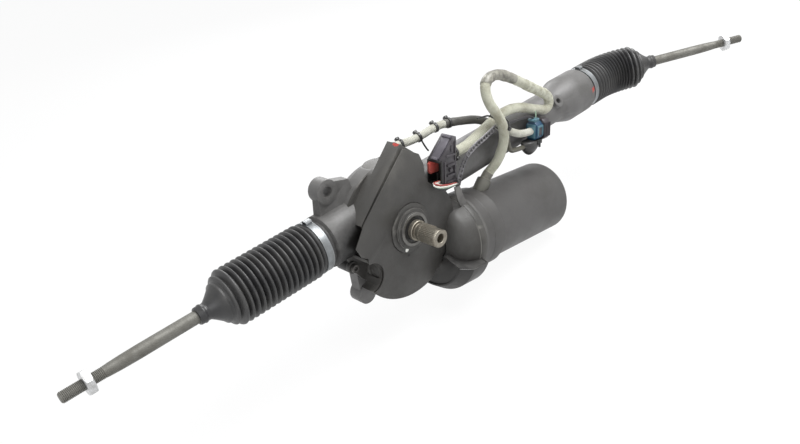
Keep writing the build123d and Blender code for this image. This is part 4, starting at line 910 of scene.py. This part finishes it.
def tie_on(name, line, place, radius, tail=()):
    """Tie square across a cable at the point of its line nearest to a place."""
    centre, ahead = point_at(line, nearest(line, place))
    to_gear = GEAR.inverted()
    tie(name, (tuple(to_gear @ centre),), tuple(to_gear.to_3x3() @ ahead), radius, tail)


def wire(name, points, radius, material):
    """Thin wire through places in gear millimetres."""
    sleeve(name, smooth_line(name + " line", points), radius, material, around=10)


aged_tape = finish("aged grey tape", (134, 132, 122), (78, 76, 70), (168, 166, 156), (0.4, 0.6), grain=150,
    depth=0.0012, soil=95, soiling=0.95)
crinkled = finish("crinkled pale sleeve", (172, 172, 156), (116, 114, 100), (196, 196, 184), (0.5, 0.7), grain=170,
    depth=0.0016, soil=150, soiling=0.8)
wrapped("loop_tape", loop_line, (150, -35, 146), (214, -30, 142), 0.0071, aged_tape, 0.035)
wrapped("loop_crinkle", loop_line, (240, -30, 130), (297, -30, 92), 0.0070, crinkled, 0.03)
wrapped("outlet_tape", loop_line, (158, -25, 9.4), (168, -26, 22), 0.0071, aged_tape, 0.02)
wrapped("sensor_tape", sensor_line, (106, -4, 100), (186, -21, 84), 0.0056, tape, 0.015)
wrapped("bundle_tape", sensor_line, (12, -5, 87), (22, 5, 88), 0.0057, tape, 0.03)

tie("loop_tie", ((176, -29.5, 95), (168, -47, 92)), (-0.93, -0.06, 0.37), 7.4,
    ((158, -44, 101), (151, -41, 107), (140, -40, 106.8), (128, -40, 107.4)))
for i, (place, grip, tail) in enumerate((
        ((34, 4.4, 88), 5.5, ((34, -1.6, 83), (38, -6, 78), (46, -8, 73))),
        ((62, 0.4, 91), 5.5, ((62, -5.4, 88), (66, -7, 79), (71, -8, 73))),
        ((90, -2.6, 98.6), 5.5, ()), ((112, -4.6, 100), 5.9, ()))):
    tie_on(f"bundle_tie_{i}", sensor_line, place, grip, tail)
tie_on("plug_tie", loop_line, (84, -37, 72), 7)

wire_colours = {title: finish(title + " wire", colour, stain, light, (0.3, 0.45), grain=900, depth=0.00004)
                for title, colour, stain, light in (
                    ("white", (214, 212, 204), (178, 176, 166), (230, 230, 226)),
                    ("red", (150, 62, 56), (112, 46, 42), (190, 110, 104)),
                    ("green", (148, 172, 150), (116, 138, 118), (186, 204, 188)),
                    ("black", (40, 38, 41), (54, 52, 54), (92, 90, 94)),
                    ("olive", (76, 74, 64), (60, 58, 50), (110, 108, 98)))}
for i, (colour, drop) in enumerate((("white", 0), ("red", 2.2), ("green", -2), ("black", -4.4), ("white", 1.2))):
    lift = (i - 2) * 0.5
    wire(f"plug_wire_{i}", ((59 - 2 * i, -42 - i, 45), (46 - 2.5 * i, -46, 46 + drop / 2),
                            (31 + 2 * i, -50 + lift, 46.5 + drop), (44 + i, -51.5 + lift, 41 + drop),
                            (60, -52 + lift, 38.6 + drop * 0.8), (73, -52 + lift, 38.6 + drop * 0.4),
                            (80, -51 + lift, 36 + drop * 0.2)), 0.0010, wire_colours[colour])
tie("wire_tie", ((74.6, -52, 38.4),), (0.98, 0.05, -0.15), 3.2, width=2.6)
wire("plug_tube", ((188, -35, 80), (190, -40, 70), (191, -41, 58), (196, -40, 49), (208, -38, 45), (229, -38, 45)),
    0.0034, wire_colours["olive"])
for i, rise in enumerate((0, 3.2)):
    wire(f"side_wire_{i}", ((176, -37 - i, 86), (188, -37 - i, 84 + rise), (207, -37, 85.4 + rise / 2),
                            (225, -37, 87 - rise / 2), (240, -37, 87 - rise / 2), (250, -38, 83),
                            (252, -38, 79)), 0.0013, wire_colours["black"])
wire("latch_wire", ((256, -38, 78), (257.4, -38, 84), (258, -36, 90)), 0.0008, wire_colours["green"])


def strap_tree(sizes):
    """Links with a square hole, set end to end along a line: two rails and a bar in each."""
    group, given, end = node_group("holed strap", "GeometryNodeTree", {
        "Geometry": "NodeSocketGeometry", **sizes, "Material": "NodeSocketMaterial"},
        {"Geometry": "NodeSocketGeometry"})

    def bar(thickness, width, length, aside=0):
        """A box of that size, moved aside across the strap."""
        size = make(group, "ShaderNodeCombineXYZ", {0: thickness, 1: width, 2: length}).outputs[0]
        move = make(group, "ShaderNodeCombineXYZ", {1: aside}).outputs[0]
        cube = make(group, "GeometryNodeMeshCube", {"Size": size}).outputs["Mesh"]
        return make(group, "GeometryNodeTransform", {"Geometry": cube, "Translation": move}).outputs[0]

    pitch, width, thickness, rail = (given[title] for title in ("Pitch", "Width", "Thickness", "Rail"))
    aside = calc(group, "MULTIPLY", calc(group, "SUBTRACT", width, rail), 0.5)
    length = calc(group, "MULTIPLY", pitch, 1.06)
    link = make(group, "GeometryNodeJoinGeometry")
    for part in (bar(thickness, rail, length, aside),
                 bar(thickness, rail, length, calc(group, "MULTIPLY", aside, -1)),
                 bar(calc(group, "MULTIPLY", thickness, 0.9), calc(group, "MULTIPLY", width, 0.96),
                     calc(group, "MULTIPLY", pitch, 0.30))):
        group.links.new(part, link.inputs["Geometry"])
    curve = make(group, "GeometryNodeMeshToCurve", {0: given["Geometry"]})
    level = make(group, "GeometryNodeSetCurveNormal", {"Curve": curve.outputs[0]}, mode="Z_UP")
    points = make(group, "GeometryNodeCurveToPoints", {"Curve": level.outputs["Curve"], "Length": pitch},
                  mode="LENGTH").outputs
    placed = make(group, "GeometryNodeInstanceOnPoints", {"Points": points["Points"], "Rotation": points["Rotation"],
                                                          "Instance": link.outputs[0]})
    real = make(group, "GeometryNodeRealizeInstances", {0: placed.outputs[0]})
    coat = make(group, "GeometryNodeSetMaterial", {"Geometry": real.outputs[0], "Material": given["Material"]})
    group.links.new(coat.outputs[0], end.inputs[0])
    return group


def grown(name, line, group, values, material):
    """A piece that a geometry node tree makes along a line, as a plain mesh."""
    mesh = bpy.data.meshes.new(name)
    mesh.from_pydata([tuple(p) for p in line], [(i, i + 1) for i in range(len(line) - 1)], [])
    piece = added(name, mesh)
    modifier = piece.modifiers.new("grown", "NODES")
    modifier.node_group = group
    for item in group.interface.items_tree:
        if item.in_out == "INPUT" and item.name in values:
            modifier[item.identifier] = values[item.name]
    settled(piece, material)
    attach(piece, "housing")


strap_grey = finish("strap nylon", (62, 60, 63), (46, 44, 47), (132, 130, 134), (0.3, 0.45), grain=800,
    depth=0.00006, soil=80, edge_wear_and_highlight_amount=0.8)
strap_line = smooth_line("strap line", ((77, -52.6, 38), (80.5, -52.8, 50), (87, -52.6, 62), (98, -51, 71),
    (114, -49.6, 77), (131, -48, 81.6), (146, -46, 85.6), (158, -44, 88.4)))
strap_sizes = {"Pitch": 0.0058, "Width": 0.0076, "Thickness": 0.0012, "Rail": 0.0016}
grown("cable_strap", strap_line, strap_tree(strap_sizes), {**strap_sizes, "Material": strap_grey}, strap_grey)
bracket = bmesh.new()
bracket_side = ((75.6, 31), (84.6, 32), (92, 16), (99, 2), (104, -8), (96, -12), (88, 0), (80.4, 14))
skinned(bracket, [[bracket.verts.new(at(GEAR, x, y, z)) for x, z in bracket_side] for y in (-47.4, -45.6)])
shown("strap_bracket", bracket, motor_paint)
